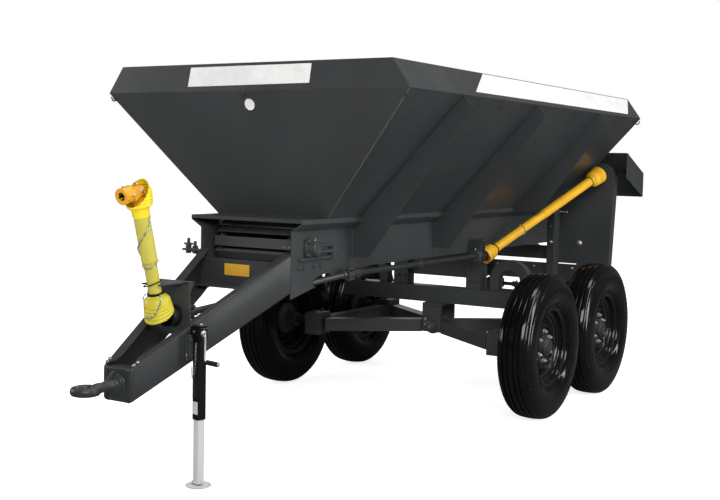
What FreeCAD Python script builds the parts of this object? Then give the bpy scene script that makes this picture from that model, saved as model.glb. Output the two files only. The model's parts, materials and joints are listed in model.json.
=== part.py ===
"""Towed lime and fertilizer spreader on a tandem bogie.

Frame: +X is the machine's left side, -Y is forward (the drawbar), +Z is up.
The ground is z = 0, the middle plane is x = 0 and y = 0 is halfway along the
machine.  Every Y below is a station measured back from the hopper's front rim;
save() moves the finished solids to the part's own origin.
All sizes are millimetres.
"""
import FreeCAD
import Part
import math
import os

from FreeCAD import Vector

# ---------------------------------------------------------------- driving sizes: wheels
TYRE_DIAMETER = 806.0
TYRE_WIDTH = 205.0
TYRE_WALL = 18.0
TYRE_SPACING = 60.0         # between the front and the rear tyre of one side
TRACK = 1726.0
BEAD_RADIUS = 205.0
BEAD_OFFSET = 62.0
RIM_SHEET = 4.0
RIM_FLANGE = 20.0
WELL_DEPTH = 26.0
WHEEL_DISC_SHEET = 6.0
HUB_RADIUS = 46.0
HUB_FLANGE_RADIUS = 97.0
HUB_CAP_RADIUS = 46.0
HUB_INNER_REACH = 92.0
STUD_CIRCLE = 81.0
STUD_RADIUS = 8.0
STUD_COUNT = 6
STUB_RADIUS = 25.0
STUB_REACH = 30.0           # past the wheel's middle

# ---------------------------------------------------------------- driving sizes: bogie and cradle
BOGIE_SETBACK = 1132.0      # bogie pin ahead of the hopper's rear wall
BOGIE_DROP = 13.0           # bogie pin below the wheel centres
BOGIE_ARM_DEPTH = 76.0
BOGIE_ARM_WIDTH = 80.0
BOGIE_RAIL_WIDTH = 60.0
BOGIE_HUB_RADIUS = 48.0
BOGIE_HUB_LENGTH = 156.0
BOGIE_PIN_RADIUS = 22.0
BOGIE_CHEEK = 15.0          # cheek plates that hold the pin
BOGIE_CHEEK_WIDTH = 130.0
BLOCK_INSET = 243.0         # axle block inside the wheel's middle
BLOCK_WIDTH = 100.0
BLOCK_LENGTH = 140.0
BLOCK_RISE = 55.0
BLOCK_DROP = 75.0
BEAM_RISE = 132.0           # cross beam's underside above the wheel centres
BEAM_DEPTH = 100.0
BEAM_WIDTH = 100.0
CRADLE_HEIGHT = 235.0       # cross beam's top to the trough's bottom
POST_WIDTH = 100.0
POST_DEPTH = 86.0
POST_NECK = 70.0            # height of the narrower part under the trough
ARCH_WALL = 58.0
ARCH_DEPTH = 60.0

# ---------------------------------------------------------------- driving sizes: trough and conveyor
TROUGH_WIDTH = 540.0        # outside of the side walls
TROUGH_DEPTH = 200.0        # bottom to the bend where the walls flare out
TROUGH_SHEET = 5.0
FLARE_WIDTH = 60.0
FLARE_HEIGHT = 36.0
LIP_HEIGHT = 22.0
FLANGE_WIDTH = 50.0
NOSE_DEPTH = 113.0          # the walls deepen at the front to take the drawbar
NOSE_LENGTH = 720.0
CONVEYOR_RISE = 120.0       # shaft height above the trough's bottom
CONVEYOR_FRONT_Y = 145.0
CONVEYOR_OVERHANG = 130.0   # driven shaft behind the hopper's rear wall
LOOP_RADIUS = 84.0
LOOP_THICKNESS = 24.0
LOOP_SIDE_GAP = 30.0
SPROCKET_X = 200.0
SPROCKET_WIDTH = 16.0
SHAFT_RADIUS = 20.0
FLOOR_SHEET = 5.0
TAKE_UP_TRAVEL = 200.0
TAKE_UP_SLIDE = 14.0
HOUSING_SIZE = 90.0
HOUSING_PLATE = 12.0
HOUSING_RADIUS = 40.0
HOUSING_REACH = 34.0
SCREW_RADIUS = 7.0

# ---------------------------------------------------------------- driving sizes: hopper
HOPPER_LENGTH = 3120.0      # front rim to rear wall
HOPPER_DEPTH = 595.0        # mouth to the fold under the rim band
RIM_WIDTH = 1759.0          # across the fold under the rim band
BAND_HEIGHT = 130.0
BAND_LEAN = 92.0            # how far the side band leans inward
RIM_HEM = 30.0              # return fold along the top edge
FRONT_SLOPE = 210.0         # front wall's run from rim to mouth
HOPPER_SHEET = 4.0
RIB_PLACES = (0.168, 0.450, 0.756)
RIB_SHEET = 6.0
RIB_DEPTH = 170.0           # at the hopper mouth
RIB_FOOT_RISE = 55.0
RIB_FOOT_WIDTH = 95.0
RIB_TIP_DROP = 8.0
RIB_SHOULDER = 50.0
SEAL_REACH = 60.0

# ---------------------------------------------------------------- driving sizes: discharge gate
GATE_SIDE_INSET = 20.0      # opening inside the trough walls, each side
GATE_HEIGHT = 122.0         # opening above the mouth
GATE_SHEET = 5.0
GATE_LAP = 25.0
GUIDE_WIDTH = 12.0
GUIDE_DEPTH = 14.0
GUIDE_LIP = 18.0
GUIDE_LENGTH = 312.0
HANDLE_WIDTH = 120.0
HANDLE_REACH = 45.0
HANDLE_BAR = 12.0

# ---------------------------------------------------------------- driving sizes: drawbar
EYE_Y = -1023.0
EYE_Z = 465.0
EYE_RADIUS = 62.0
EYE_BORE = 25.5
EYE_THICKNESS = 36.0
EYE_SHANK_RADIUS = 20.0
EYE_COLLAR_RADIUS = 45.0
HEAD_WIDTH = 160.0
HEAD_LENGTH = 90.0
HEAD_FRONT_Y = -850.0
HEAD_DROP = 74.0            # head's underside below the eye
HEAD_HEIGHT = 144.0
DRAWBAR_SHEET = 8.0
DRAWBAR_FLANGE = 50.0
DRAWBAR_DEPTH = 186.0       # at the rear, where the beam meets the trough
DRAWBAR_REAR_RISE = 98.0    # top edge above the trough's bottom at the rear
CROSS_PLATE_DROP = 80.0
CROSS_PLATE_RISE = 55.0
CROSS_PLATE_FLANGE = 60.0

# ---------------------------------------------------------------- driving sizes: jack
JACK_REACH = 43.0           # jack's axis outside the drawbar's face
JACK_Y = -550.0
JACK_TUBE = 42.0
JACK_TUBE_WALL = 3.0
JACK_TUBE_BOTTOM_Z = 290.0
JACK_TOP_RISE = 3.0         # tube's top above the drawbar's top edge
JACK_CAP = 10.0
JACK_LEG = 35.0
JACK_LEG_ENTRY = 140.0      # leg inside the tube when lowered
JACK_FOOT_RADIUS = 55.0
JACK_FOOT_THICKNESS = 8.0
JACK_BRACKET_WIDTH = 80.0
JACK_BRACKET_HEIGHT = 105.0
JACK_BRACKET_DROP = 36.0    # bracket's top below the drawbar's top edge
CRANK_DROP = 30.0
CRANK_THROW = 144.0
CRANK_GRIP = 71.0

# ---------------------------------------------------------------- driving sizes: drive line
STUB_X = 45.0
STUB_RISE = 37.2            # input stub above the drawbar's top edge
BULKHEAD_Y = -550.0
BULKHEAD_WIDTH = 270.0          # at its foot
BULKHEAD_TAPER = 18.0          # its top narrower, each side
BULKHEAD_OFFSET = 10.0         # its middle towards the input stub
BULKHEAD_SHEET = 8.0
BULKHEAD_RISE = 147.0
BULKHEAD_DROP = 85.0
BULKHEAD_FOLD = 40.0
STUB_FLANGE_RADIUS = 48.0
STUB_FLANGE = 12.0
STUB_TAIL = 95.0
REST_SHEET = 6.0
REST_ROOM = 6.0             # between the stored shaft and its rest
REST_WALL = 14.0
PTO_JOINT_Y = -640.0
PTO_LEAN = 15.0             # stored shaft leans forward from upright, degrees
PTO_LENGTH = 557.0          # between the two joint centres
PTO_TUBE_RADIUS = 34.0
PTO_CORE_RADIUS = 20.0
PTO_CONE_RADIUS = 66.0
PTO_CONE_LENGTH = 90.0
PTO_CONE_STEP = 6.0         # cone's small end outside the tube
PTO_HOOD_REACH = 88.0       # upper cone's far lip past the joint centre
PTO_HOOD_LENGTH = 150.0
PTO_HOOD_SLANT = 45.0       # upper cone's mouth, turned towards the yoke, degrees
PTO_HOOD_MOUTH = 4.0        # slanting mouth short of the joint centre
GUARD_WALL = 4.0
JOINT_RADIUS = 24.0
CROSS_RADIUS = 10.0         # the joint's cross pin
CROSS_REACH = 33.0
YOKE_BALL_RADIUS = 30.0
YOKE_RADIUS = 36.0
YOKE_LENGTH = 95.0
SPLINE_RADIUS = 17.5
SPLINE_LENGTH = 60.0
DRIVE_SHAFT_RADIUS = 15.0
SLEEVE_RADIUS = 27.0
SLEEVE_LENGTH = 55.0
SHAFT_HOLE_ROOM = 12.0
SIDE_SHAFT_OFFSET = 48.0    # side shaft outside the trough wall
SIDE_SHAFT_DROP = 20.0      # side shaft below the trough's bottom
SIDE_SHAFT_FRONT_Y = 420.0
SIDE_BEARING_LEAD = 148.0   # side bearing ahead of the bogie pin
SIDE_BEARING_RADIUS = 40.0
REAR_PTO_TUBE_RADIUS = 25.0
REAR_PTO_CORE_RADIUS = 17.0
REAR_PTO_LOW_CONE_RADIUS = 42.0
REAR_PTO_CONE_RADIUS = 57.0
REAR_PTO_CONE_LENGTH = 120.0
REAR_PTO_CONE_STEP = 5.0
REAR_PTO_MOUTH = 22.0       # cone's mouth past the joint centre
INPUT_RISE = 210.0          # drive input above the hopper mouth
INPUT_REACH = 96.0          # drive input outside the hopper's wall

# ---------------------------------------------------------------- driving sizes: rear end
WING_GAP = 40.0             # wing plates behind the hopper's rear wall
WING_SHEET = 5.0
WING_DROP = 145.0
WING_FLANGE = 70.0
WING_CAP_RADIUS = 85.0
WING_LEAN = 25.0
WING_STEP = 15.0
HOOD_OVERHANG = 95.0        # hood's cheeks outside the wing plates
HOOD_RISE = 367.0           # roof's front edge above the mouth
HOOD_DROP = 135.0
HOOD_LENGTH = 365.0
HOOD_SKIRT = 165.0
HOOD_SHEET = 3.0
DISC_RADIUS = 250.0
DISC_SPACING = 100.0        # between the two discs
DISC_DROP = 280.0           # discs below the trough's bottom
DISC_SHEET = 5.0
DISC_BOSS_RADIUS = 50.0
DISC_BOSS_HEIGHT = 18.0
DISC_SHAFT_RADIUS = 17.5
DISC_SHAFT_LENGTH = 60.0
VANE_COUNT = 4
VANE_HEIGHT = 48.0
VANE_SHEET = 4.0
VANE_FOOT = 24.0
VANE_START_ANGLE = 20.0
FRAME_TUBE = 50.0
GEARBOX_SIZE = 130.0
GEARBOX_HEIGHT = 70.0
GEARBOX_NECK_RADIUS = 38.0
GEARBOX_NECK_HEIGHT = 20.0
INPUT_BOX_WIDTH = 120.0
INPUT_BOX_DEPTH = 100.0
INPUT_BOX_RISE = 60.0
INPUT_BOX_DROP = 70.0
CHAIN_CASE_DEPTH = 30.0
CHAIN_CASE_WIDTH = 80.0
CHAIN_CASE_OFFSET = 130.0   # lower chain wheel outside the disc's middle
DIVIDER_WIDTH = 340.0
DIVIDER_HEIGHT = 85.0
DIVIDER_DROP = 35.0         # ridge's crest below the trough's bottom
DIVIDER_SHEET = 4.0
SHIELD_GAP = 6.0            # disc shield below the wing plates
SHIELD_HEIGHT = 119.0

# ---------------------------------------------------------------- fits
RUNNING_FIT = 0.05          # radial, shaft in bore
SEAT_GAP = 0.3              # where one fixed piece lies on another
JOINT_GAP = 0.5             # round a joint's cross
GATE_CLEARANCE = 0.5
HOLE_ROOM = 3.0             # round a shaft that passes a plate

# ---------------------------------------------------------------- places along X
BLOCK_X = TRACK / 2 - BLOCK_INSET
BEAM_LENGTH = 2 * BLOCK_X + BLOCK_WIDTH
WALL_X = TROUGH_WIDTH / 2
WALL_INNER_X = WALL_X - TROUGH_SHEET
MOUTH_X = WALL_X + FLARE_WIDTH
RIM_X = RIM_WIDTH / 2
RIM_TOP_X = RIM_X - BAND_LEAN
HOPPER_SLOPE = (RIM_X - MOUTH_X) / HOPPER_DEPTH
LOOP_X = WALL_INNER_X - LOOP_SIDE_GAP
POST_INNER_X = WALL_X - FLANGE_WIDTH - TROUGH_SHEET - 10
POST_OUTER_X = POST_INNER_X + POST_WIDTH
ARCH_X = (POST_OUTER_X + BEAM_LENGTH / 2) / 2
ARCH_RADIUS = (BEAM_LENGTH / 2 - POST_OUTER_X) * 0.35
SIDE_SHAFT_X = WALL_X + SIDE_SHAFT_OFFSET
HEAD_X = HEAD_WIDTH / 2
JACK_X = HEAD_X + (WALL_X - HEAD_X) * (1 - JACK_Y / HEAD_FRONT_Y) + JACK_REACH
INPUT_X = MOUTH_X + INPUT_RISE * HOPPER_SLOPE + INPUT_REACH
WING_INNER_X = WALL_X + WING_STEP
WING_OUTER_X = INPUT_X + WING_CAP_RADIUS
HOOD_X = WING_OUTER_X + HOOD_OVERHANG
DISC_X = DISC_RADIUS + DISC_SPACING / 2

# ---------------------------------------------------------------- places along Y
BOGIE_Y = HOPPER_LENGTH - BOGIE_SETBACK
WHEELBASE = TYRE_DIAMETER + TYRE_SPACING
FRONT_AXLE_Y = BOGIE_Y - WHEELBASE / 2
REAR_AXLE_Y = BOGIE_Y + WHEELBASE / 2
CONVEYOR_REAR_Y = HOPPER_LENGTH + CONVEYOR_OVERHANG
SIDE_BEARING_Y = BOGIE_Y - SIDE_BEARING_LEAD
WING_Y = HOPPER_LENGTH + WING_GAP
WING_BACK_Y = WING_Y + WING_SHEET
DISC_Y = WING_Y + CHAIN_CASE_DEPTH + DISC_RADIUS + 2 * WING_SHEET
FRAME_CROSS_Y = DISC_Y - FRAME_TUBE - 10
MACHINE_FRONT_Y = EYE_Y - EYE_RADIUS
MACHINE_REAR_Y = DISC_Y + DISC_RADIUS
CENTRE_Y = (MACHINE_FRONT_Y + MACHINE_REAR_Y) / 2

# ---------------------------------------------------------------- places along Z
TYRE_RADIUS = TYRE_DIAMETER / 2
WHEEL_Z = TYRE_RADIUS
BOGIE_Z = WHEEL_Z - BOGIE_DROP
BEAM_BOTTOM_Z = WHEEL_Z + BEAM_RISE
BEAM_TOP_Z = BEAM_BOTTOM_Z + BEAM_DEPTH
TROUGH_Z = BEAM_TOP_Z + CRADLE_HEIGHT
BEND_Z = TROUGH_Z + TROUGH_DEPTH
LIP_Z = BEND_Z + FLARE_HEIGHT
MOUTH_Z = LIP_Z + LIP_HEIGHT
FOLD_Z = MOUTH_Z + HOPPER_DEPTH
BAND_TOP_Z = FOLD_Z + BAND_HEIGHT
CONVEYOR_Z = TROUGH_Z + CONVEYOR_RISE
LOOP_TOP_Z = CONVEYOR_Z + LOOP_RADIUS
GATE_TOP_Z = MOUTH_Z + GATE_HEIGHT
HEAD_Z = EYE_Z - HEAD_DROP
HEAD_TOP_Z = HEAD_Z + HEAD_HEIGHT
DRAWBAR_REAR_Z = TROUGH_Z + DRAWBAR_REAR_RISE
SIDE_SHAFT_Z = TROUGH_Z - SIDE_SHAFT_DROP
INPUT_Z = MOUTH_Z + INPUT_RISE
WING_Z = TROUGH_Z - WING_DROP
HOOD_Z = MOUTH_Z + HOOD_RISE
HOOD_EAVE_Z = HOOD_Z - HOOD_DROP
DISC_Z = TROUGH_Z - DISC_DROP
GEARBOX_TOP_Z = DISC_Z - 2 * GEARBOX_NECK_HEIGHT
GEARBOX_Z = GEARBOX_TOP_Z - GEARBOX_HEIGHT
GEAR_SHAFT_Z = GEARBOX_Z + GEARBOX_HEIGHT / 2

X_AXIS = Vector(1, 0, 0)
Y_AXIS = Vector(0, 1, 0)
Z_AXIS = Vector(0, 0, 1)

os.makedirs("parts", exist_ok=True)


# ---------------------------------------------------------------- shape helpers
def save(name, shape):
    """Write one node, moved from hopper stations to the part's own origin."""
    moved = shape.copy()
    moved.translate(Vector(0, -CENTRE_Y, 0))
    moved.exportStep("parts/" + name + ".step")


def box(x0, x1, y0, y1, z0, z1):
    """Box between two corners."""
    return Part.makeBox(x1 - x0, y1 - y0, z1 - z0, Vector(x0, y0, z0))


def cylinder(radius, start, end):
    """Round bar between two points."""
    axis = end - start
    return Part.makeCylinder(radius, axis.Length, start, axis)


def cone(radius0, radius1, start, end):
    """Tapered round solid between two points."""
    axis = end - start
    return Part.makeCone(radius0, radius1, axis.Length, start, axis)


def fuse(shapes):
    """Join touching or overlapping solids into one, without seams."""
    shapes = list(shapes)
    joined = shapes[0].multiFuse(shapes[1:]) if len(shapes) > 1 else shapes[0]
    joined = joined.removeSplitter()
    return joined.Solids[0] if len(joined.Solids) == 1 else joined


def largest(shape):
    """The main solid of a cut shape, without its offcuts."""
    return max(shape.Solids, key=lambda solid: solid.Volume)


def several(shapes):
    """Like pieces that share a node without touching."""
    return Part.makeCompound(list(shapes))


def mirror(shape):
    """The same piece on the machine's right side."""
    return shape.mirror(Vector(0, 0, 0), X_AXIS)


def prism(points, push):
    """Flat outline through the points, pushed along a vector."""
    return Part.Face(Part.makePolygon(list(points) + [points[0]])).extrude(push)


def plate_xz(outline, y, thickness):
    """Plate across the machine from an (x, z) outline."""
    return prism([Vector(x, y, z) for x, z in outline], Vector(0, thickness, 0))


def plate_yz(outline, x, thickness):
    """Plate along the machine from a (y, z) outline."""
    return prism([Vector(x, y, z) for y, z in outline], Vector(thickness, 0, 0))


def mitred(points, thickness):
    """Closed outline of a folded sheet: the given line and its offset to the left."""
    inner = []
    count = len(points)
    for i, (px, py) in enumerate(points):
        normals = []
        for a, b in ((i - 1, i), (i, i + 1)):
            if a < 0 or b >= count:
                continue
            dx = points[b][0] - points[a][0]
            dy = points[b][1] - points[a][1]
            length = math.hypot(dx, dy)
            normals.append((-dy / length, dx / length))
        nx = sum(n[0] for n in normals) / len(normals)
        ny = sum(n[1] for n in normals) / len(normals)
        scale = thickness / (nx * nx + ny * ny)
        inner.append((px + nx * scale, py + ny * scale))
    return list(points) + inner[::-1]


def folded_along(points, thickness, y0, y1):
    """Sheet folded along (x, z) points, running along the machine."""
    return plate_xz(mitred(points, thickness), y0, y1 - y0)


def folded_across(points, thickness, x0, x1):
    """Sheet folded along (y, z) points, running across the machine."""
    return plate_yz(mitred(points, thickness), x0, x1 - x0)


def hexahedron(lower, upper):
    """Solid between two four-cornered outlines."""
    faces = [lower, upper]
    for i in range(4):
        j = (i + 1) % 4
        faces.append([lower[i], lower[j], upper[j], upper[i]])
    shell = Part.Shell([Part.Face(Part.makePolygon(f + [f[0]])) for f in faces])
    solid = Part.Solid(shell)
    if solid.Volume < 0:
        solid.reverse()
    return solid


def rectangle(half_width, y0, y1, z):
    """Corners of a level rectangle centred on the middle plane."""
    return [
        Vector(-half_width, y0, z),
        Vector(half_width, y0, z),
        Vector(half_width, y1, z),
        Vector(-half_width, y1, z),
    ]


def along(start, direction, distance):
    """Point at a distance from the start."""
    return start + direction * distance


# ---------------------------------------------------------------- hopper
def hopper_outside():
    """Everything inside the hopper's outer skin."""
    lower = rectangle(MOUTH_X, FRONT_SLOPE, HOPPER_LENGTH, MOUTH_Z)
    fold = rectangle(RIM_X, 0, HOPPER_LENGTH, FOLD_Z)
    top = rectangle(RIM_TOP_X, 0, HOPPER_LENGTH, BAND_TOP_Z)
    return hexahedron(lower, fold).fuse(hexahedron(fold, top)).removeSplitter()


def hopper_side():
    """Left wall: sloped sheet, leaning rim band and hem in one folding."""
    line = [
        (MOUTH_X, MOUTH_Z),
        (RIM_X, FOLD_Z),
        (RIM_TOP_X, BAND_TOP_Z),
        (RIM_TOP_X - RIM_HEM, BAND_TOP_Z),
    ]
    return folded_along(line, HOPPER_SHEET, 0, HOPPER_LENGTH).common(hopper_outside())


def hopper_front(sides):
    """Sloped front sheet with its upright rim band, fitted between the sides."""
    line = [
        (RIM_HEM, BAND_TOP_Z),
        (0, BAND_TOP_Z),
        (0, FOLD_Z),
        (FRONT_SLOPE, MOUTH_Z),
    ]
    sheet = folded_across(line, HOPPER_SHEET, -RIM_WIDTH, RIM_WIDTH)
    return largest(sheet.common(hopper_outside()).cut(sides))


def gate_guide():
    """Left guide that the gate slides in."""
    inner = WALL_X - GATE_SIDE_INSET + GATE_LAP + GATE_CLEARANCE
    face = HOPPER_LENGTH
    lip = face + GATE_SHEET + 2 * GATE_CLEARANCE
    back = face + GUIDE_DEPTH
    top = MOUTH_Z + GUIDE_LENGTH
    return fuse([
        box(inner, inner + GUIDE_WIDTH, face, back, MOUTH_Z, top),
        box(inner - GUIDE_LIP, inner + GUIDE_WIDTH, lip, back, MOUTH_Z, top),
    ])


def hopper_rear(sides):
    """Upright rear sheet with the discharge opening at its foot and the gate's guides."""
    line = [
        (HOPPER_LENGTH, MOUTH_Z),
        (HOPPER_LENGTH, BAND_TOP_Z),
        (HOPPER_LENGTH - RIM_HEM, BAND_TOP_Z),
    ]
    sheet = folded_across(line, HOPPER_SHEET, -RIM_WIDTH, RIM_WIDTH)
    half = WALL_X - GATE_SIDE_INSET
    opening = box(-half, half, HOPPER_LENGTH - RIM_HEM, HOPPER_LENGTH + RIM_HEM,
                  TROUGH_Z, GATE_TOP_Z)
    sheet = largest(sheet.common(hopper_outside()).cut(sides).cut(opening))
    guide = gate_guide()
    return fuse([sheet, guide, mirror(guide)])


def rib_edge():
    """Outline shared by every rib, from its free edge up and back down the hopper wall."""
    tip_z = FOLD_Z - RIB_TIP_DROP
    tip_x = MOUTH_X + (tip_z - MOUTH_Z) * HOPPER_SLOPE
    return [
        (MOUTH_X + RIB_DEPTH, LIP_Z),
        (tip_x + RIB_SHOULDER, tip_z - RIB_SHOULDER),
        (tip_x + HOPPER_SHEET, tip_z),
        (tip_x, tip_z),
        (MOUTH_X, MOUTH_Z),
        (MOUTH_X, LIP_Z),
    ]


def long_rib(y):
    """Upright rib that follows the hopper wall and the trough below it."""
    foot_z = TROUGH_Z + RIB_FOOT_RISE
    foot = [(WALL_X, BEND_Z), (WALL_X, foot_z), (WALL_X + RIB_FOOT_WIDTH, foot_z)]
    return plate_xz(foot + rib_edge(), y, RIB_SHEET)


def short_rib(y):
    """Rear rib, which stops at the mouth so that the drive shaft passes below."""
    return plate_xz(rib_edge(), y, RIB_SHEET)


def mouth_shelf():
    """Level shelf ahead of the hopper mouth, with the seal that meets the conveyor."""
    half = MOUTH_X - TROUGH_SHEET
    shelf = folded_across([
        (FRONT_SLOPE + SEAL_REACH / 3, MOUTH_Z),
        (0, MOUTH_Z),
        (0, LIP_Z + TROUGH_SHEET),
    ], TROUGH_SHEET, -half, half)
    seal = folded_across([
        (FRONT_SLOPE - SEAL_REACH, LOOP_TOP_Z + TROUGH_SHEET),
        (FRONT_SLOPE, MOUTH_Z - TROUGH_SHEET),
    ], HOPPER_SHEET, -WALL_INNER_X, WALL_INNER_X)
    return fuse([shelf, seal])


def build_hopper():
    """Hopper walls, ribs and the shelf at the front of the mouth."""
    left = hopper_side()
    right = mirror(left)
    save("hopper_side_left", left)
    save("hopper_side_right", right)
    sides = several([left, right])
    save("hopper_front", hopper_front(sides))
    save("hopper_rear", hopper_rear(sides))
    stations = [HOPPER_LENGTH * place for place in RIB_PLACES]
    ribs = [long_rib(y) for y in stations[:-1]]
    ribs.append(short_rib(stations[-1]))
    save("hopper_ribs", several(ribs + [mirror(rib) for rib in ribs]))
    save("mouth_shelf", mouth_shelf())


# ---------------------------------------------------------------- trough and conveyor
def slanting_ends():
    """Joint centres of the slanting shaft, from the input stub to the side shaft."""
    start = Vector(STUB_X, BULKHEAD_Y + STUB_TAIL, stub_z())
    end = Vector(SIDE_SHAFT_X, SIDE_SHAFT_FRONT_Y, SIDE_SHAFT_Z)
    return start, end


def slanting_clearance():
    """Space that the slanting shaft needs where it passes a plate."""
    start, end = slanting_ends()
    return cylinder(DRIVE_SHAFT_RADIUS + SHAFT_HOLE_ROOM, start, end)


def trough_side():
    """Left wall with its bottom flange, flare and lip, and the deeper front end."""
    line = [
        (WALL_X - FLANGE_WIDTH, TROUGH_Z),
        (WALL_X, TROUGH_Z),
        (WALL_X, BEND_Z),
        (MOUTH_X, LIP_Z),
        (MOUTH_X, MOUTH_Z),
    ]
    wall = folded_along(line, TROUGH_SHEET, 0, HOPPER_LENGTH)
    overlap_z = TROUGH_Z + FLANGE_WIDTH
    nose = plate_yz([
        (0, overlap_z),
        (0, TROUGH_Z - NOSE_DEPTH),
        (NOSE_LENGTH * 0.6, TROUGH_Z - NOSE_DEPTH / 5),
        (NOSE_LENGTH, TROUGH_Z),
        (NOSE_LENGTH, overlap_z),
    ], WALL_INNER_X, TROUGH_SHEET)
    hole = cylinder(SHAFT_RADIUS + HOLE_ROOM, Vector(WALL_INNER_X, CONVEYOR_FRONT_Y, CONVEYOR_Z),
                    Vector(WALL_X, CONVEYOR_FRONT_Y, CONVEYOR_Z))
    return fuse([wall, nose]).cut(hole)


def racetrack(radius, half_width):
    """Solid stadium around both conveyor shafts."""
    ends = [
        cylinder(radius, Vector(-half_width, y, CONVEYOR_Z), Vector(half_width, y, CONVEYOR_Z))
        for y in (CONVEYOR_FRONT_Y, CONVEYOR_REAR_Y)
    ]
    middle = box(-half_width, half_width, CONVEYOR_FRONT_Y, CONVEYOR_REAR_Y,
                 CONVEYOR_Z - radius, CONVEYOR_Z + radius)
    return fuse(ends + [middle])


def conveyor_shaft(y):
    """Cross shaft with its pair of chain wheels."""
    reach = WALL_X + HOUSING_REACH + 2 * HOLE_ROOM
    half = SPROCKET_WIDTH / 2
    pieces = [cylinder(SHAFT_RADIUS, Vector(-reach, y, CONVEYOR_Z), Vector(reach, y, CONVEYOR_Z))]
    for x in (-SPROCKET_X, SPROCKET_X):
        pieces.append(cylinder(LOOP_RADIUS - LOOP_THICKNESS, Vector(x - half, y, CONVEYOR_Z),
                               Vector(x + half, y, CONVEYOR_Z)))
    return fuse(pieces)


def shaft_bore(y):
    """Bore for a conveyor shaft in its left bearing."""
    return cylinder(SHAFT_RADIUS, Vector(WALL_INNER_X, y, CONVEYOR_Z),
                    Vector(WALL_X + 2 * HOUSING_REACH, y, CONVEYOR_Z))


def take_up_bearing():
    """Left take-up: flange bearing on its slide with the adjusting screw."""
    y = CONVEYOR_FRONT_Y
    half = HOUSING_SIZE / 2
    slide_top = CONVEYOR_Z - half
    end = y + TAKE_UP_TRAVEL
    screw_x = WALL_X + 2 * SCREW_RADIUS
    screw_z = CONVEYOR_Z - half / 2
    slide = box(WALL_X, WALL_X + TAKE_UP_SLIDE, y - 2 * half, end, slide_top - TAKE_UP_SLIDE, slide_top)
    stop = box(WALL_X, screw_x + 2 * SCREW_RADIUS, end - 2 * TAKE_UP_SLIDE, end - TAKE_UP_SLIDE,
               slide_top - TAKE_UP_SLIDE, CONVEYOR_Z)
    plate = box(WALL_X, WALL_X + HOUSING_PLATE, y - half, y + half, slide_top, CONVEYOR_Z + half)
    housing = cylinder(HOUSING_RADIUS, Vector(WALL_X, y, CONVEYOR_Z),
                       Vector(WALL_X + HOUSING_REACH, y, CONVEYOR_Z))
    screw = cylinder(SCREW_RADIUS, Vector(screw_x, y + half / 2, screw_z),
                     Vector(screw_x, end + TAKE_UP_SLIDE, screw_z))
    return fuse([slide, stop, plate, housing, screw]).cut(shaft_bore(y))


def drive_bearing():
    """Left bearing of the conveyor's driven shaft."""
    y = CONVEYOR_REAR_Y
    half = HOUSING_SIZE / 2
    plate = box(WALL_INNER_X, WALL_X, HOPPER_LENGTH, y + half, CONVEYOR_Z - half, CONVEYOR_Z + half)
    housing = cylinder(HOUSING_RADIUS, Vector(WALL_X, y, CONVEYOR_Z),
                       Vector(WALL_X + HOUSING_REACH, y, CONVEYOR_Z))
    return fuse([plate, housing]).cut(shaft_bore(y))


def build_trough():
    """Trough under the hopper with the slatted chain conveyor that empties it."""
    wall = trough_side()
    save("trough_side_left", largest(wall.cut(slanting_clearance())))
    save("trough_side_right", mirror(wall))
    floor_top = LOOP_TOP_Z - LOOP_THICKNESS - SEAT_GAP
    save("conveyor_floor", box(-WALL_INNER_X, WALL_INNER_X, CONVEYOR_FRONT_Y + LOOP_RADIUS + SHAFT_RADIUS,
                               HOPPER_LENGTH, floor_top - FLOOR_SHEET, floor_top))
    inside = racetrack(LOOP_RADIUS - LOOP_THICKNESS, LOOP_X + 1)
    save("conveyor_loop", racetrack(LOOP_RADIUS, LOOP_X).cut(inside))
    save("conveyor_shafts", several([conveyor_shaft(CONVEYOR_FRONT_Y), conveyor_shaft(CONVEYOR_REAR_Y)]))
    bearings = [take_up_bearing(), drive_bearing()]
    save("conveyor_bearings", several(bearings + [mirror(bearing) for bearing in bearings]))


# ---------------------------------------------------------------- discharge gate
def build_gate():
    """Sliding gate on the rear wall with its handle."""
    half = WALL_X - GATE_SIDE_INSET + GATE_LAP
    front = HOPPER_LENGTH + GATE_CLEARANCE
    back = front + GATE_SHEET
    top = GATE_TOP_Z + GATE_LAP
    gate = box(-half, half, front, back, LOOP_TOP_Z + 2 * GATE_SHEET, top)
    grip = HANDLE_WIDTH / 2
    end = HOPPER_LENGTH + HANDLE_REACH
    bar_z = top - 3 * HANDLE_BAR
    handle = fuse([
        box(-grip, HANDLE_BAR - grip, back, end, bar_z, bar_z + HANDLE_BAR),
        box(grip - HANDLE_BAR, grip, back, end, bar_z, bar_z + HANDLE_BAR),
        box(-grip, grip, end - HANDLE_BAR, end, bar_z, bar_z + HANDLE_BAR),
    ])
    save("discharge_gate", fuse([gate, handle]))


# ---------------------------------------------------------------- drawbar
def drawbar_run():
    """Front corner of the left beam's outer face and the run to its rear corner."""
    front = Vector(HEAD_X, HEAD_FRONT_Y, 0)
    return front, Vector(WALL_X, 0, 0) - front


def beam_top(y):
    """Height of the drawbar's top edge at a station."""
    front, run = drawbar_run()
    return HEAD_TOP_Z + (y - front.y) / run.y * (DRAWBAR_REAR_Z - HEAD_TOP_Z)


def beam_face(y):
    """Distance of the drawbar's outer face from the middle plane at a station."""
    front, run = drawbar_run()
    return front.x + (y - front.y) / run.y * run.x


def stub_z():
    """Height of the input stub."""
    return beam_top(BULKHEAD_Y) + STUB_RISE


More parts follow.
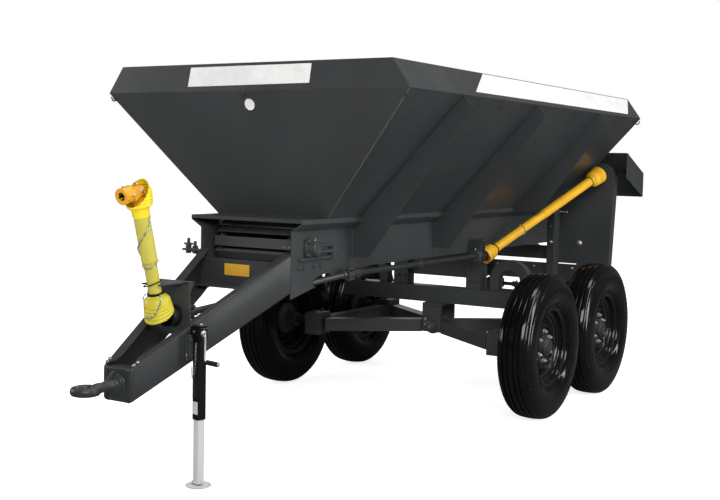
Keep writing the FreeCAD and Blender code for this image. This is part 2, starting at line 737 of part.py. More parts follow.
def drawbar_beam():
    """Left drawbar channel: tapered web with flanges turned inward."""
    front, run = drawbar_run()
    end = run.Length + DRAWBAR_FLANGE
    stretch = end / run.Length
    high = HEAD_TOP_Z + (DRAWBAR_REAR_Z - HEAD_TOP_Z) * stretch
    low = HEAD_Z + (DRAWBAR_REAR_Z - DRAWBAR_DEPTH - HEAD_Z) * stretch
    t = DRAWBAR_SHEET
    outline = [(0, HEAD_Z), (0, HEAD_TOP_Z), (end, high), (end, low)]
    top = [(0, HEAD_TOP_Z), (end, high), (end, high - t), (0, HEAD_TOP_Z - t)]
    bottom = [(0, HEAD_Z), (end, low), (end, low + t), (0, HEAD_Z + t)]
    beam = fuse([
        plate_yz(outline, -t, t),
        plate_yz(top, -DRAWBAR_FLANGE, DRAWBAR_FLANGE),
        plate_yz(bottom, -DRAWBAR_FLANGE, DRAWBAR_FLANGE),
    ])
    beam.rotate(Vector(0, 0, 0), Z_AXIS, math.degrees(math.atan2(-run.x, run.y)))
    beam.translate(front)
    return beam.common(box(0, WALL_X, HEAD_FRONT_Y, 0, 0, FOLD_Z))


def hitch_eye():
    """Forged towing eye with its shank and collar."""
    centre = Vector(0, EYE_Y, EYE_Z)
    half = EYE_THICKNESS / 2
    eye = Part.makeCylinder(EYE_RADIUS, EYE_THICKNESS, centre - Z_AXIS * half)
    rims = [e for e in eye.Edges if e.Curve.TypeId == "Part::GeomCircle"]
    eye = eye.makeFillet(half * 5 / 6, rims)
    root = Vector(0, EYE_Y + EYE_RADIUS - EYE_SHANK_RADIUS, EYE_Z)
    face = Vector(0, HEAD_FRONT_Y, EYE_Z)
    shank = cylinder(EYE_SHANK_RADIUS, root, face)
    collar = cylinder(EYE_COLLAR_RADIUS, face - Y_AXIS * 14, face)
    bore = Part.makeCylinder(EYE_BORE, EYE_THICKNESS, centre - Z_AXIS * half)
    return fuse([eye, shank, collar]).cut(bore)


def build_drawbar():
    """Drawbar beams, head, eye and the cross plate that ties them to the trough."""
    beam = drawbar_beam()
    beams = several([beam, mirror(beam)])
    save("drawbar_beam_left", beam)
    save("drawbar_beam_right", mirror(beam))
    half = HEAD_WIDTH / 2
    head = box(-half, half, HEAD_FRONT_Y, HEAD_FRONT_Y + HEAD_LENGTH, HEAD_Z, HEAD_TOP_Z)
    save("drawbar_head", largest(head.cut(beams)))
    save("hitch_eye", hitch_eye())
    panel = folded_across([
        (-CROSS_PLATE_FLANGE, TROUGH_Z - CROSS_PLATE_DROP),
        (0, TROUGH_Z - CROSS_PLATE_DROP),
        (0, TROUGH_Z + CROSS_PLATE_RISE),
    ], DRAWBAR_SHEET, -WALL_X, WALL_X)
    save("drawbar_cross_plate", largest(panel.cut(beams).cut(slanting_clearance())))


# ---------------------------------------------------------------- jack
def square_tube(size, wall, z0, z1):
    """Upright square tube on the jack's axis."""
    h = size / 2
    i = h - wall
    outer = box(JACK_X - h, JACK_X + h, JACK_Y - h, JACK_Y + h, z0, z1)
    return outer.cut(box(JACK_X - i, JACK_X + i, JACK_Y - i, JACK_Y + i, z0, z1))


def jack_bracket():
    """Plate block between the left drawbar beam and the jack's tube."""
    half = JACK_BRACKET_WIDTH / 2
    top = beam_top(JACK_Y) - JACK_BRACKET_DROP
    bottom = top - JACK_BRACKET_HEIGHT
    reach = JACK_REACH - JACK_TUBE / 2 / math.cos(beam_splay())
    return prism([
        Vector(beam_face(JACK_Y - half), JACK_Y - half, bottom),
        Vector(beam_face(JACK_Y - half) + reach, JACK_Y - half, bottom),
        Vector(beam_face(JACK_Y + half) + reach, JACK_Y + half, bottom),
        Vector(beam_face(JACK_Y + half), JACK_Y + half, bottom),
    ], Z_AXIS * (top - bottom))


def beam_splay():
    """Angle between a drawbar beam and straight ahead, in radians."""
    return math.atan2(beam_face(0) - beam_face(HEAD_FRONT_Y), -HEAD_FRONT_Y)


def turned_to_beam(shape):
    """Jack's piece turned about the jack's axis until its side is parallel to the beam."""
    turned = shape.copy()
    turned.rotate(Vector(JACK_X, JACK_Y, 0), Z_AXIS, -math.degrees(beam_splay()))
    return turned


def build_jack():
    """Parking jack on the left drawbar beam."""
    h = JACK_TUBE / 2
    top = beam_top(JACK_Y) + JACK_TOP_RISE
    tube = square_tube(JACK_TUBE, JACK_TUBE_WALL, JACK_TUBE_BOTTOM_Z, top)
    cap = box(JACK_X - h, JACK_X + h, JACK_Y - h, JACK_Y + h, top, top + JACK_CAP)
    save("jack_tube", turned_to_beam(fuse([tube, cap])))
    save("jack_bracket", jack_bracket())
    leg = square_tube(JACK_LEG, JACK_TUBE_WALL, JACK_FOOT_THICKNESS, JACK_TUBE_BOTTOM_Z + JACK_LEG_ENTRY)
    foot = Part.makeCylinder(JACK_FOOT_RADIUS, JACK_FOOT_THICKNESS, Vector(JACK_X, JACK_Y, 0))
    save("jack_leg", turned_to_beam(fuse([leg, foot])))
    spindle = Vector(JACK_X + h, JACK_Y, top - CRANK_DROP)
    elbow = spindle + X_AXIS * h
    knee = elbow - Z_AXIS * CRANK_THROW
    save("jack_crank", turned_to_beam(fuse([
        cylinder(8, spindle, elbow),
        Part.makeSphere(8, elbow),
        cylinder(6, elbow, knee),
        cylinder(11, knee - X_AXIS * 6, knee + X_AXIS * CRANK_GRIP),
    ])))


# ---------------------------------------------------------------- running gear
def cradle():
    """Posts from the cross beam up to the trough, with the tie plate between them."""
    y0 = BOGIE_Y - POST_DEPTH / 2
    y1 = BOGIE_Y + POST_DEPTH / 2
    shoulder = TROUGH_Z - POST_NECK
    post = box(POST_INNER_X, POST_OUTER_X, y0, y1, BEAM_TOP_Z, shoulder)
    neck = box(POST_INNER_X, WALL_X - TROUGH_SHEET, y0, y1, shoulder, TROUGH_Z)
    left = fuse([post, neck])
    tie = box(-POST_INNER_X, POST_INNER_X, BOGIE_Y - TROUGH_SHEET, BOGIE_Y + TROUGH_SHEET,
              BEAM_TOP_Z + TROUGH_SHEET * 13, TROUGH_Z - POST_NECK / 3)
    return fuse([left, mirror(left), tie])


def arch():
    """Inverted U on the left end of the cross beam."""
    spring = BEAM_TOP_Z + ARCH_RADIUS / 2
    inner = ARCH_RADIUS - ARCH_WALL
    y0 = BOGIE_Y - ARCH_DEPTH / 2
    y1 = BOGIE_Y + ARCH_DEPTH / 2

    def upright_d(radius, foot):
        """Half round on a rectangle, through the arch's depth."""
        disc = cylinder(radius, Vector(ARCH_X, y0, spring), Vector(ARCH_X, y1, spring))
        return fuse([disc, box(ARCH_X - radius, ARCH_X + radius, y0, y1, foot, spring)])

    outer = upright_d(ARCH_RADIUS, BEAM_TOP_Z - BEAM_DEPTH / 2)
    above = box(0, BEAM_LENGTH, y0, y1, BEAM_TOP_Z, FOLD_Z)
    return outer.common(above).cut(upright_d(inner, BEAM_TOP_Z))


def bogie_bracket():
    """Cheeks under the cross beam with the pin that carries the bogie."""
    half = BOGIE_CHEEK_WIDTH / 2
    inner = BOGIE_HUB_LENGTH / 2 + 2
    outer = inner + BOGIE_CHEEK
    foot = BOGIE_Z - BOGIE_PIN_RADIUS - BOGIE_CHEEK / 2
    head = box(-half, half, BOGIE_Y - outer, BOGIE_Y + outer, BEAM_BOTTOM_Z - BOGIE_CHEEK, BEAM_BOTTOM_Z)
    cheeks = [
        box(-half, half, BOGIE_Y - outer, BOGIE_Y - inner, foot, BEAM_BOTTOM_Z),
        box(-half, half, BOGIE_Y + inner, BOGIE_Y + outer, foot, BEAM_BOTTOM_Z),
    ]
    end = outer + BOGIE_CHEEK
    pin = cylinder(BOGIE_PIN_RADIUS, Vector(0, BOGIE_Y - end, BOGIE_Z), Vector(0, BOGIE_Y + end, BOGIE_Z))
    return fuse([head, pin] + cheeks)


def bogie_side(sx):
    """Rail with the two axle blocks of one side."""
    half = BOGIE_ARM_DEPTH / 2
    reach = BLOCK_LENGTH / 2
    x = sx * BLOCK_X
    pieces = [box(x - BOGIE_RAIL_WIDTH / 2, x + BOGIE_RAIL_WIDTH / 2, FRONT_AXLE_Y, REAR_AXLE_Y,
                  BOGIE_Z - half, BOGIE_Z + half)]
    for y in (FRONT_AXLE_Y, REAR_AXLE_Y):
        pieces.append(box(x - BLOCK_WIDTH / 2, x + BLOCK_WIDTH / 2, y - reach, y + reach,
                          WHEEL_Z - BLOCK_DROP, WHEEL_Z + BLOCK_RISE))
    return fuse(pieces)


def bogie_arms(sides):
    """Four arms that cross from the pin's hub to the axle blocks."""
    base = BOGIE_Z - BOGIE_ARM_DEPTH / 2
    centre = Vector(0, BOGIE_Y, base)
    arms = []
    for sx in (-1, 1):
        for wheel_y in (FRONT_AXLE_Y, REAR_AXLE_Y):
            end = Vector(sx * (BLOCK_X - BLOCK_WIDTH / 2), wheel_y, base)
            run = end - centre
            side = Vector(-run.y, run.x, 0).normalize() * (BOGIE_ARM_WIDTH / 2)
            arms.append(prism([centre - side, centre + side, end + side, end - side],
                              Z_AXIS * BOGIE_ARM_DEPTH))
    reach = BOGIE_HUB_LENGTH / 2
    hub = cylinder(BOGIE_HUB_RADIUS, Vector(0, BOGIE_Y - reach, BOGIE_Z), Vector(0, BOGIE_Y + reach, BOGIE_Z))
    bracket = bogie_bracket().BoundBox
    room = [
        box(bracket.XMin - 5, bracket.XMax + 5, bracket.YMin, BOGIE_Y - reach, base, BEAM_BOTTOM_Z),
        box(bracket.XMin - 5, bracket.XMax + 5, BOGIE_Y + reach, bracket.YMax, base, BEAM_BOTTOM_Z),
    ]
    bore = cylinder(BOGIE_PIN_RADIUS + RUNNING_FIT, Vector(0, BOGIE_Y - reach, BOGIE_Z),
                    Vector(0, BOGIE_Y + reach, BOGIE_Z))
    return largest(fuse(arms).cut(several(room)).fuse(hub).cut(bore).cut(sides))


def build_bogie():
    """Cross beam, cradle and the four-armed bogie with its stub axles."""
    half = BEAM_LENGTH / 2
    beam = box(-half, half, BOGIE_Y - BEAM_WIDTH / 2, BOGIE_Y + BEAM_WIDTH / 2, BEAM_BOTTOM_Z, BEAM_TOP_Z)
    save("bogie_cross_beam", fuse([beam, arch(), mirror(arch())]))
    save("trough_cradle", cradle())
    save("bogie_bracket", bogie_bracket())
    sides = several([bogie_side(-1), bogie_side(1)])
    save("bogie_arms", bogie_arms(sides))
    save("bogie_sides", sides)
    stubs = []
    for sx in (-1, 1):
        for y in (FRONT_AXLE_Y, REAR_AXLE_Y):
            stubs.append(cylinder(STUB_RADIUS, Vector(sx * (BLOCK_X + BLOCK_WIDTH / 2), y, WHEEL_Z),
                                  Vector(sx * (TRACK / 2 + STUB_REACH), y, WHEEL_Z)))
    save("stub_axles", several(stubs))


def revolve_x(profile):
    """Solid of revolution about the X axis; the profile is (offset, radius)."""
    face = Part.Face(Part.makePolygon([Vector(a, 0, r) for a, r in profile + [profile[0]]]))
    return face.revolve(Vector(0, 0, 0), X_AXIS, 360)


def tyre():
    """Hollow ribbed implement tyre, open at its beads, about the X axis at the origin."""
    half = TYRE_WIDTH / 2
    height = TYRE_RADIUS - BEAD_RADIUS
    section = [
        (BEAD_OFFSET, 0.0), (BEAD_OFFSET, 0.09), (BEAD_OFFSET + TYRE_WALL, 0.157),
        (half * 0.96, 0.31), (half, 0.495), (half * 0.94, 0.70), (half * 0.82, 0.85),
        (half * 0.62, 0.96), (half * 0.35, 0.995), (0.0, 1.0),
    ]
    outside = [(a, BEAD_RADIUS + height * part) for a, part in section]
    outside = [(-a, r) for a, r in outside] + outside[-2::-1]
    scale = (half - TYRE_WALL) / half
    inside = [(a * scale, min(r, TYRE_RADIUS - TYRE_WALL)) for a, r in outside[3:-3]]
    toe = BEAD_OFFSET - TYRE_WALL
    return revolve_x(outside + [(toe, BEAD_RADIUS)] + inside[::-1] + [(-toe, BEAD_RADIUS)])


def rim():
    """Drop-centre rim with its dished disc; +X is the outer side of the wheel."""
    seat = BEAD_RADIUS - SEAT_GAP - RIM_SHEET
    well = seat - WELL_DEPTH
    edge = BEAD_OFFSET + SEAT_GAP + RIM_SHEET
    slope = edge / 2
    barrel = revolve_x(mitred([
        (-edge, seat + RIM_FLANGE), (-edge, seat), (-slope, seat), (-slope + 12, well),
        (slope - 12, well), (slope, seat), (edge, seat), (edge, seat + RIM_FLANGE),
    ], RIM_SHEET))
    dish = revolve_x(mitred([
        (18, well + 1), (14, well - 25), (30, HUB_FLANGE_RADIUS * 1.35), (36, HUB_FLANGE_RADIUS * 1.15),
        (22, HUB_FLANGE_RADIUS * 1.06), (22, HUB_CAP_RADIUS + 2),
    ], -WHEEL_DISC_SHEET))
    return fuse([barrel, dish])


def hub():
    """Hub with its stud flange and dust cap, bored for the stub axle."""
    face = 18.0
    cap = face + STUB_REACH
    pieces = [
        cylinder(HUB_FLANGE_RADIUS, Vector(-8, 0, 0), Vector(face, 0, 0)),
        cylinder(HUB_RADIUS, Vector(-HUB_INNER_REACH, 0, 0), Vector(0, 0, 0)),
        cylinder(HUB_CAP_RADIUS, Vector(0, 0, 0), Vector(cap, 0, 0)),
        cone(HUB_CAP_RADIUS, HUB_CAP_RADIUS * 0.75, Vector(cap, 0, 0), Vector(cap + 14, 0, 0)),
    ]
    for i in range(STUD_COUNT):
        angle = 2 * math.pi / STUD_COUNT * i
        foot = Vector(face, STUD_CIRCLE * math.cos(angle), STUD_CIRCLE * math.sin(angle))
        pieces.append(cylinder(STUD_RADIUS, foot - X_AXIS * 4, foot + X_AXIS * face))
    bore = cylinder(STUB_RADIUS + RUNNING_FIT, Vector(-HUB_INNER_REACH, 0, 0), Vector(STUB_REACH + 1, 0, 0))
    return fuse(pieces).cut(bore)


def build_wheels():
    """Four wheels, outer side away from the middle plane."""
    pieces = {"tyre": tyre(), "wheel": fuse([rim(), hub()])}
    places = {
        "front_left": (1, FRONT_AXLE_Y),
        "front_right": (-1, FRONT_AXLE_Y),
        "rear_left": (1, REAR_AXLE_Y),
        "rear_right": (-1, REAR_AXLE_Y),
    }
    for place, (sx, y) in places.items():
        for kind, shape in pieces.items():
            piece = shape.copy() if sx > 0 else mirror(shape)
            piece.translate(Vector(sx * TRACK / 2, y, WHEEL_Z))
            save(kind + "_" + place, piece)


# ---------------------------------------------------------------- drive line
def guard(mouth, direction, mouth_radius, end_radius, length):
    """Bell-shaped joint guard: a hollow cone open at its mouth."""
    outer = cone(mouth_radius, end_radius, mouth, along(mouth, direction, length))
    inner = cone(mouth_radius - GUARD_WALL, end_radius - GUARD_WALL, mouth,
                 along(mouth, direction, length - GUARD_WALL))
    return outer.cut(inner)


def stored_direction():
    """Direction of the stored front shaft, up from its lower joint."""
    lean = math.radians(PTO_LEAN)
    return Vector(0, -math.sin(lean), math.cos(lean))


def pto_rest():
    """Open-fronted fork on the bulkhead that the stored shaft leans in."""
    up = stored_direction()
    top = stub_z() + BULKHEAD_RISE
    room = PTO_TUBE_RADIUS + REST_ROOM
    half = room + REST_WALL
    middle_y = PTO_JOINT_Y + up.y / up.z * BULKHEAD_RISE
    fork = box(STUB_X - half, STUB_X + half, middle_y - room / 2, BULKHEAD_Y, top - REST_SHEET, top)
    centre = Vector(STUB_X, middle_y, top)
    notch = cylinder(room, along(centre, up, -room), along(centre, up, room))
    throat = box(STUB_X - room, STUB_X + room, middle_y - 2 * room, middle_y, top - REST_SHEET, top)
    return fork.cut(notch).cut(throat)


def build_bulkhead():
    """Bulkhead between the drawbar beams, with the stored shaft's rest and the input stub."""
    beam = drawbar_beam()
    right = BULKHEAD_OFFSET - BULKHEAD_WIDTH / 2
    left = BULKHEAD_OFFSET + BULKHEAD_WIDTH / 2
    z = stub_z()
    top = z + BULKHEAD_RISE
    back = BULKHEAD_Y + BULKHEAD_SHEET

    def at(y):
        """Point on the stub's axis."""
        return Vector(STUB_X, y, z)

    wall = prism([
        Vector(right, BULKHEAD_Y, z - BULKHEAD_DROP),
        Vector(left, BULKHEAD_Y, z - BULKHEAD_DROP),
        Vector(left - BULKHEAD_TAPER, BULKHEAD_Y, top),
        Vector(right + BULKHEAD_TAPER, BULKHEAD_Y, top),
    ], Y_AXIS * BULKHEAD_SHEET)
    fold = box(right + BULKHEAD_TAPER, left - BULKHEAD_TAPER, BULKHEAD_Y, BULKHEAD_Y + BULKHEAD_FOLD,
               top - BULKHEAD_SHEET, top)
    hole = cylinder(DRIVE_SHAFT_RADIUS + HOLE_ROOM, at(BULKHEAD_Y), at(back))
    bulkhead = fuse([wall, fold, pto_rest()]).cut(several([beam, mirror(beam)])).cut(hole)
    save("drive_bulkhead", largest(bulkhead))
    front = PTO_JOINT_Y + JOINT_RADIUS + JOINT_GAP
    tail = BULKHEAD_Y + STUB_TAIL - JOINT_RADIUS - JOINT_GAP
    save("input_stub", fuse([
        cylinder(DRIVE_SHAFT_RADIUS, at(front), at(tail)),
        cylinder(PTO_CORE_RADIUS, at(front), at(BULKHEAD_Y)),
        cylinder(STUB_FLANGE_RADIUS, at(BULKHEAD_Y - STUB_FLANGE), at(BULKHEAD_Y)),
        cylinder(STUB_FLANGE_RADIUS - STUB_FLANGE / 2, at(back), at(back + 2 * STUB_FLANGE)),
    ]))


def hood_opening(joint, up, forward):
    """Everything ahead of the slanting mouth of the upper joint's guard."""
    slant = math.radians(PTO_HOOD_SLANT)
    outward = up * math.cos(slant) + forward * math.sin(slant)
    along_mouth = X_AXIS.cross(outward) * (3 * PTO_CONE_RADIUS)
    across = X_AXIS * (2 * PTO_CONE_RADIUS)
    middle = along(joint, outward, -PTO_HOOD_MOUTH)
    corners = [
        middle - across - along_mouth,
        middle + across - along_mouth,
        middle + across + along_mouth,
        middle - across + along_mouth,
    ]
    return prism(corners, outward * (3 * PTO_CONE_RADIUS))


def build_front_pto():
    """Stored front drive shaft: guard, lower joint and upper yoke."""
    joint = Vector(STUB_X, PTO_JOINT_Y, stub_z())
    up = stored_direction()
    forward = X_AXIS.cross(up)
    top = along(joint, up, PTO_LENGTH)
    cover = PTO_TUBE_RADIUS + PTO_CONE_STEP
    core = PTO_CONE_LENGTH - PTO_CORE_RADIUS
    neck = along(top, up, PTO_HOOD_REACH + GUARD_WALL - PTO_HOOD_LENGTH)
    tube = cylinder(PTO_TUBE_RADIUS, along(joint, up, core), neck)
    lower = guard(along(joint, up, JOINT_RADIUS), up, PTO_CONE_RADIUS, cover, PTO_CONE_LENGTH)
    upper = guard(along(top, up, PTO_HOOD_REACH), up * -1, PTO_CONE_RADIUS, cover, PTO_HOOD_LENGTH)
    upper = upper.cut(hood_opening(top, up, forward))
    save("front_pto_guard", fuse([tube, lower, upper]))
    yoke = fuse([
        cylinder(PTO_CORE_RADIUS, neck, top),
        Part.makeSphere(YOKE_BALL_RADIUS, top),
        cylinder(YOKE_RADIUS, top, along(top, forward, YOKE_LENGTH)),
    ])
    bore = cylinder(SPLINE_RADIUS, along(top, forward, YOKE_LENGTH - SPLINE_LENGTH),
                    along(top, forward, YOKE_LENGTH))
    cross = fuse([
        cylinder(PTO_CORE_RADIUS, joint, along(joint, up, core)),
        Part.makeSphere(JOINT_RADIUS, joint),
        cylinder(CROSS_RADIUS, along(joint, X_AXIS, -CROSS_REACH), along(joint, X_AXIS, CROSS_REACH)),
    ])
    save("front_pto_joints", several([cross, yoke.cut(bore)]))


def build_side_drive():
    """Slanting shaft, side shaft, its bearing, and the rear shaft up to the input."""
    start, end = slanting_ends()
    run = (end - start).normalize()
    cross = Part.makeSphere(JOINT_RADIUS, end)
    save("slanting_shaft", fuse([
        cylinder(DRIVE_SHAFT_RADIUS, start, along(end, run, -SLEEVE_LENGTH)),
        Part.makeSphere(JOINT_RADIUS, start),
        cylinder(SLEEVE_RADIUS, along(end, run, -SLEEVE_LENGTH - JOINT_RADIUS),
                 along(end, run, -JOINT_RADIUS - JOINT_GAP)),
    ]))
    low = Vector(SIDE_SHAFT_X, BOGIE_Y, SIDE_SHAFT_Z)
    save("side_shaft", fuse([
        cross,
        cylinder(DRIVE_SHAFT_RADIUS, end, along(low, Y_AXIS, -JOINT_RADIUS - JOINT_GAP)),
        cylinder(SLEEVE_RADIUS, along(end, Y_AXIS, JOINT_RADIUS / 2),
                 along(end, Y_AXIS, SLEEVE_LENGTH + JOINT_RADIUS)),
    ]))
    y = SIDE_BEARING_Y
    plate_top = TROUGH_Z + SIDE_BEARING_RADIUS * 2
    side = SIDE_SHAFT_X + SIDE_BEARING_RADIUS
    bearing = fuse([
        box(WALL_X, side, y, y + BULKHEAD_SHEET, SIDE_SHAFT_Z - SIDE_BEARING_RADIUS, plate_top),
        box(WALL_X, WALL_X + BULKHEAD_SHEET, y, y + SLEEVE_LENGTH * 2, TROUGH_Z, plate_top),
        cylinder(SIDE_BEARING_RADIUS, Vector(SIDE_SHAFT_X, y - 2 * BULKHEAD_SHEET, SIDE_SHAFT_Z),
                 Vector(SIDE_SHAFT_X, y + 4 * BULKHEAD_SHEET, SIDE_SHAFT_Z)),
    ])
    bore = cylinder(DRIVE_SHAFT_RADIUS, along(end, Y_AXIS, SLEEVE_LENGTH * 2), low)
    save("side_bearing", bearing.cut(bore))
    high = Vector(INPUT_X, WING_Y - INPUT_BOX_DEPTH, INPUT_Z)
    run = (high - low).normalize()
    span = (high - low).Length
    cover = REAR_PTO_TUBE_RADIUS + REAR_PTO_CONE_STEP
    core = REAR_PTO_CONE_LENGTH - 2 * REAR_PTO_MOUTH
    tube = cylinder(REAR_PTO_TUBE_RADIUS, along(low, run, core), along(low, run, span - core))
    lower = guard(along(low, run, -REAR_PTO_MOUTH), run, REAR_PTO_LOW_CONE_RADIUS, cover,
                  REAR_PTO_CONE_LENGTH)
    upper = guard(along(high, run, REAR_PTO_MOUTH), run * -1, REAR_PTO_CONE_RADIUS, cover,
                  REAR_PTO_CONE_LENGTH)
    save("rear_pto_guard", fuse([tube, lower, upper]))
    face = Vector(INPUT_X, WING_BACK_Y, INPUT_Z)
    save("rear_pto_joints", several([
        fuse([
            cylinder(REAR_PTO_CORE_RADIUS, low, along(low, run, core)),
            Part.makeSphere(JOINT_RADIUS, low),
        ]),
        fuse([
            cylinder(REAR_PTO_CORE_RADIUS, high, along(high, run, -core)),
            Part.makeSphere(JOINT_RADIUS, high),
            cylinder(REAR_PTO_CORE_RADIUS, high, face),
        ]),
    ]))


# ---------------------------------------------------------------- rear end
def wing():
    """Left wing plate behind the wheels, rounded round the drive input."""
    top_x = WING_OUTER_X
    foot_x = top_x - WING_LEAN
    outline = [
        (WING_INNER_X, WING_Z),
        (foot_x, WING_Z),
        (top_x, INPUT_Z),
        (INPUT_X - WING_CAP_RADIUS * 0.7, INPUT_Z + WING_CAP_RADIUS * 0.7),
        (INPUT_X - 2 * WING_CAP_RADIUS, INPUT_Z + WING_LEAN),
        (WING_INNER_X, INPUT_Z - WING_CAP_RADIUS),
    ]
    cap = cylinder(WING_CAP_RADIUS, Vector(INPUT_X, WING_Y, INPUT_Z), Vector(INPUT_X, WING_BACK_Y, INPUT_Z))
    flange = prism([
        Vector(foot_x, WING_Y, WING_Z),
        Vector(top_x, WING_Y, INPUT_Z),
        Vector(top_x, WING_Y + WING_FLANGE, INPUT_Z),
        Vector(foot_x, WING_Y + WING_FLANGE, WING_Z),
    ], Vector(-WING_SHEET, 0, 0))
    return fuse([plate_xz(outline, WING_Y, WING_SHEET), cap, flange])


def rear_frame():
    """Posts beside the trough's end and the arms below that carry the disc drives."""
    size = FRAME_TUBE
    low = GEARBOX_Z - size
    outer = WALL_X + size
    post = box(WALL_X, outer, WING_Y - 2 * size, WING_Y, low, MOUTH_Z - LIP_HEIGHT / 2)
    flare = prism([
        Vector(WALL_X, 0, BEND_Z),
        Vector(MOUTH_X, 0, LIP_Z),
        Vector(MOUTH_X, 0, MOUTH_Z),
        Vector(WALL_X, 0, MOUTH_Z),
    ], Y_AXIS * DISC_Y)
    arm = box(WALL_X, outer, WING_Y, FRAME_CROSS_Y, low, GEARBOX_Z)
    left = fuse([post.cut(flare), arm])
    reach = DISC_X + GEARBOX_SIZE / 2
    cross = box(-reach, reach, FRAME_CROSS_Y - size / 2, FRAME_CROSS_Y + size / 2, low, GEARBOX_Z)
    return fuse([left, mirror(left), cross])


def rear_hood():
    """Sloping hood over the discharge, with cheeks and a rear skirt."""
    front = HOPPER_LENGTH
    rear = front + HOOD_LENGTH
    roof = folded_across([
        (front, HOOD_Z),
        (front + HOPPER_SHEET, HOOD_Z),
        (rear, HOOD_EAVE_Z),
        (rear, HOOD_EAVE_Z - HOOD_SKIRT),
    ], -HOOD_SHEET, -HOOD_X, HOOD_X)
    cheek = plate_yz([
        (front, HOOD_Z),
        (front + HOPPER_SHEET, HOOD_Z),
        (rear, HOOD_EAVE_Z),
        (rear, HOOD_EAVE_Z - HOOD_SKIRT),
        (front, HOOD_Z - HOOD_SKIRT),
    ], HOOD_X - HOOD_SHEET, HOOD_SHEET)
    return fuse([roof, cheek, mirror(cheek)])


def spreading_disc(x):
    """One disc with its boss, drive shaft and throwing vanes."""
    centre = Vector(x, DISC_Y, DISC_Z)
    plate_top = centre + Z_AXIS * DISC_SHEET
    pieces = [
        Part.makeCylinder(DISC_RADIUS, DISC_SHEET, centre),
        Part.makeCylinder(DISC_SHAFT_RADIUS, DISC_SHAFT_LENGTH, centre - Z_AXIS * DISC_SHAFT_LENGTH),
        Part.makeCylinder(DISC_BOSS_RADIUS, DISC_BOSS_HEIGHT, plate_top),
    ]
    inner = DISC_BOSS_RADIUS + GUARD_WALL
    outer = DISC_RADIUS - GUARD_WALL
    half = VANE_SHEET / 2
    for i in range(VANE_COUNT):
        vane = fuse([
            box(inner, outer, -half, half, 0, VANE_HEIGHT),
            box(inner, outer, -half, VANE_FOOT, 0, VANE_SHEET),
        ])
        vane.rotate(Vector(0, 0, 0), Z_AXIS, 360 / VANE_COUNT * i + VANE_START_ANGLE)
        vane.translate(plate_top)
        pieces.append(vane)
    return fuse(pieces)


def build_disc_drive():
    """Input gearbox, chain case, disc gearboxes and the shafts between them."""
    face = WING_BACK_Y
    half = INPUT_BOX_WIDTH / 2
    low_z = INPUT_Z - INPUT_BOX_DROP
    save("input_gearbox", box(INPUT_X - half, INPUT_X + half, face, face + INPUT_BOX_DEPTH,
                              low_z, INPUT_Z + INPUT_BOX_RISE))
    lower_x = DISC_X + CHAIN_CASE_OFFSET
    reach = CHAIN_CASE_WIDTH / 2
    foot_z = GEAR_SHAFT_Z - reach
    save("chain_case", prism([
        Vector(INPUT_X - reach, face, low_z),
        Vector(INPUT_X + reach, face, low_z),
        Vector(lower_x + reach, face, foot_z),
        Vector(lower_x - reach, face, foot_z),
    ], Y_AXIS * CHAIN_CASE_DEPTH))
    gearboxes = []
    size = GEARBOX_SIZE / 2
    for x in (-DISC_X, DISC_X):
        body = box(x - size, x + size, DISC_Y - size, DISC_Y + size, GEARBOX_Z, GEARBOX_TOP_Z)
        crown = Vector(x, DISC_Y, GEARBOX_TOP_Z)
        neck = Part.makeCylinder(GEARBOX_NECK_RADIUS, GEARBOX_NECK_HEIGHT, crown)
        bore = Part.makeCylinder(DISC_SHAFT_RADIUS + RUNNING_FIT, DISC_SHAFT_LENGTH,
                                 crown - Z_AXIS * (DISC_SHAFT_LENGTH - GEARBOX_NECK_HEIGHT))
        gearboxes.append(fuse([body, neck]).cut(bore))
    save("disc_gearboxes", several(gearboxes))

    def at(x, y):
        """Point in the plane of the lower shafts."""
        return Vector(x, y, GEAR_SHAFT_Z)

    side = DISC_X - size
    save("disc_drive_shafts", several([
        cylinder(DRIVE_SHAFT_RADIUS, at(-side, DISC_Y), at(side, DISC_Y)),
        fuse([
            cylinder(DRIVE_SHAFT_RADIUS, at(DISC_X + size, DISC_Y), at(lower_x, DISC_Y)),
            cylinder(SLEEVE_RADIUS, at(lower_x, face + CHAIN_CASE_DEPTH),
                     at(lower_x, DISC_Y + SLEEVE_RADIUS)),
        ]),
    ]))


def flow_divider():
    """Ridge that splits the falling stream between the discs, on its cross plate."""
    half = DIVIDER_WIDTH / 2
    crest = TROUGH_Z - DIVIDER_DROP
    foot = crest - DIVIDER_HEIGHT
    back = WING_Y + DIVIDER_SHEET
    reach = WING_INNER_X - SEAT_GAP
    plate = box(-reach, reach, WING_Y, back, foot - WING_SHEET, crest + WING_SHEET)
    ridge = folded_along([(-half, foot), (0, crest), (half, foot)], -DIVIDER_SHEET, back,
                         DISC_Y + FRAME_TUBE)
    return fuse([plate, ridge])


def disc_shield():
    """Plate ahead of the discs that keeps the thrown material off the wheels."""
    reach = WING_OUTER_X - WING_LEAN
    top = WING_Z - SHIELD_GAP
    return box(-reach, reach, WING_Y, WING_BACK_Y, top - SHIELD_HEIGHT, top)


def build_rear():
    """Rear frame, wing plates, hood, divider and the spreading discs."""
    save("rear_frame", rear_frame())
    input_hole = cylinder(REAR_PTO_CORE_RADIUS + 4 * HOLE_ROOM, Vector(INPUT_X, WING_Y, INPUT_Z),
                          Vector(INPUT_X, WING_BACK_Y, INPUT_Z))
    save("wing_plates", several([wing().cut(input_hole), mirror(wing())]))
    save("rear_hood", rear_hood())
    build_disc_drive()
    save("spreading_disc_left", spreading_disc(DISC_X))
    save("spreading_disc_right", spreading_disc(-DISC_X))
    save("flow_divider", flow_divider())
    save("disc_shield", disc_shield())


build_hopper()
build_trough()
build_gate()
build_drawbar()
build_jack()
build_bogie()
build_wheels()
build_bulkhead()
build_front_pto()
build_side_drive()
build_rear()
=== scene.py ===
import json
from math import atan2, ceil, cos, pi, radians, sin, sqrt, tan

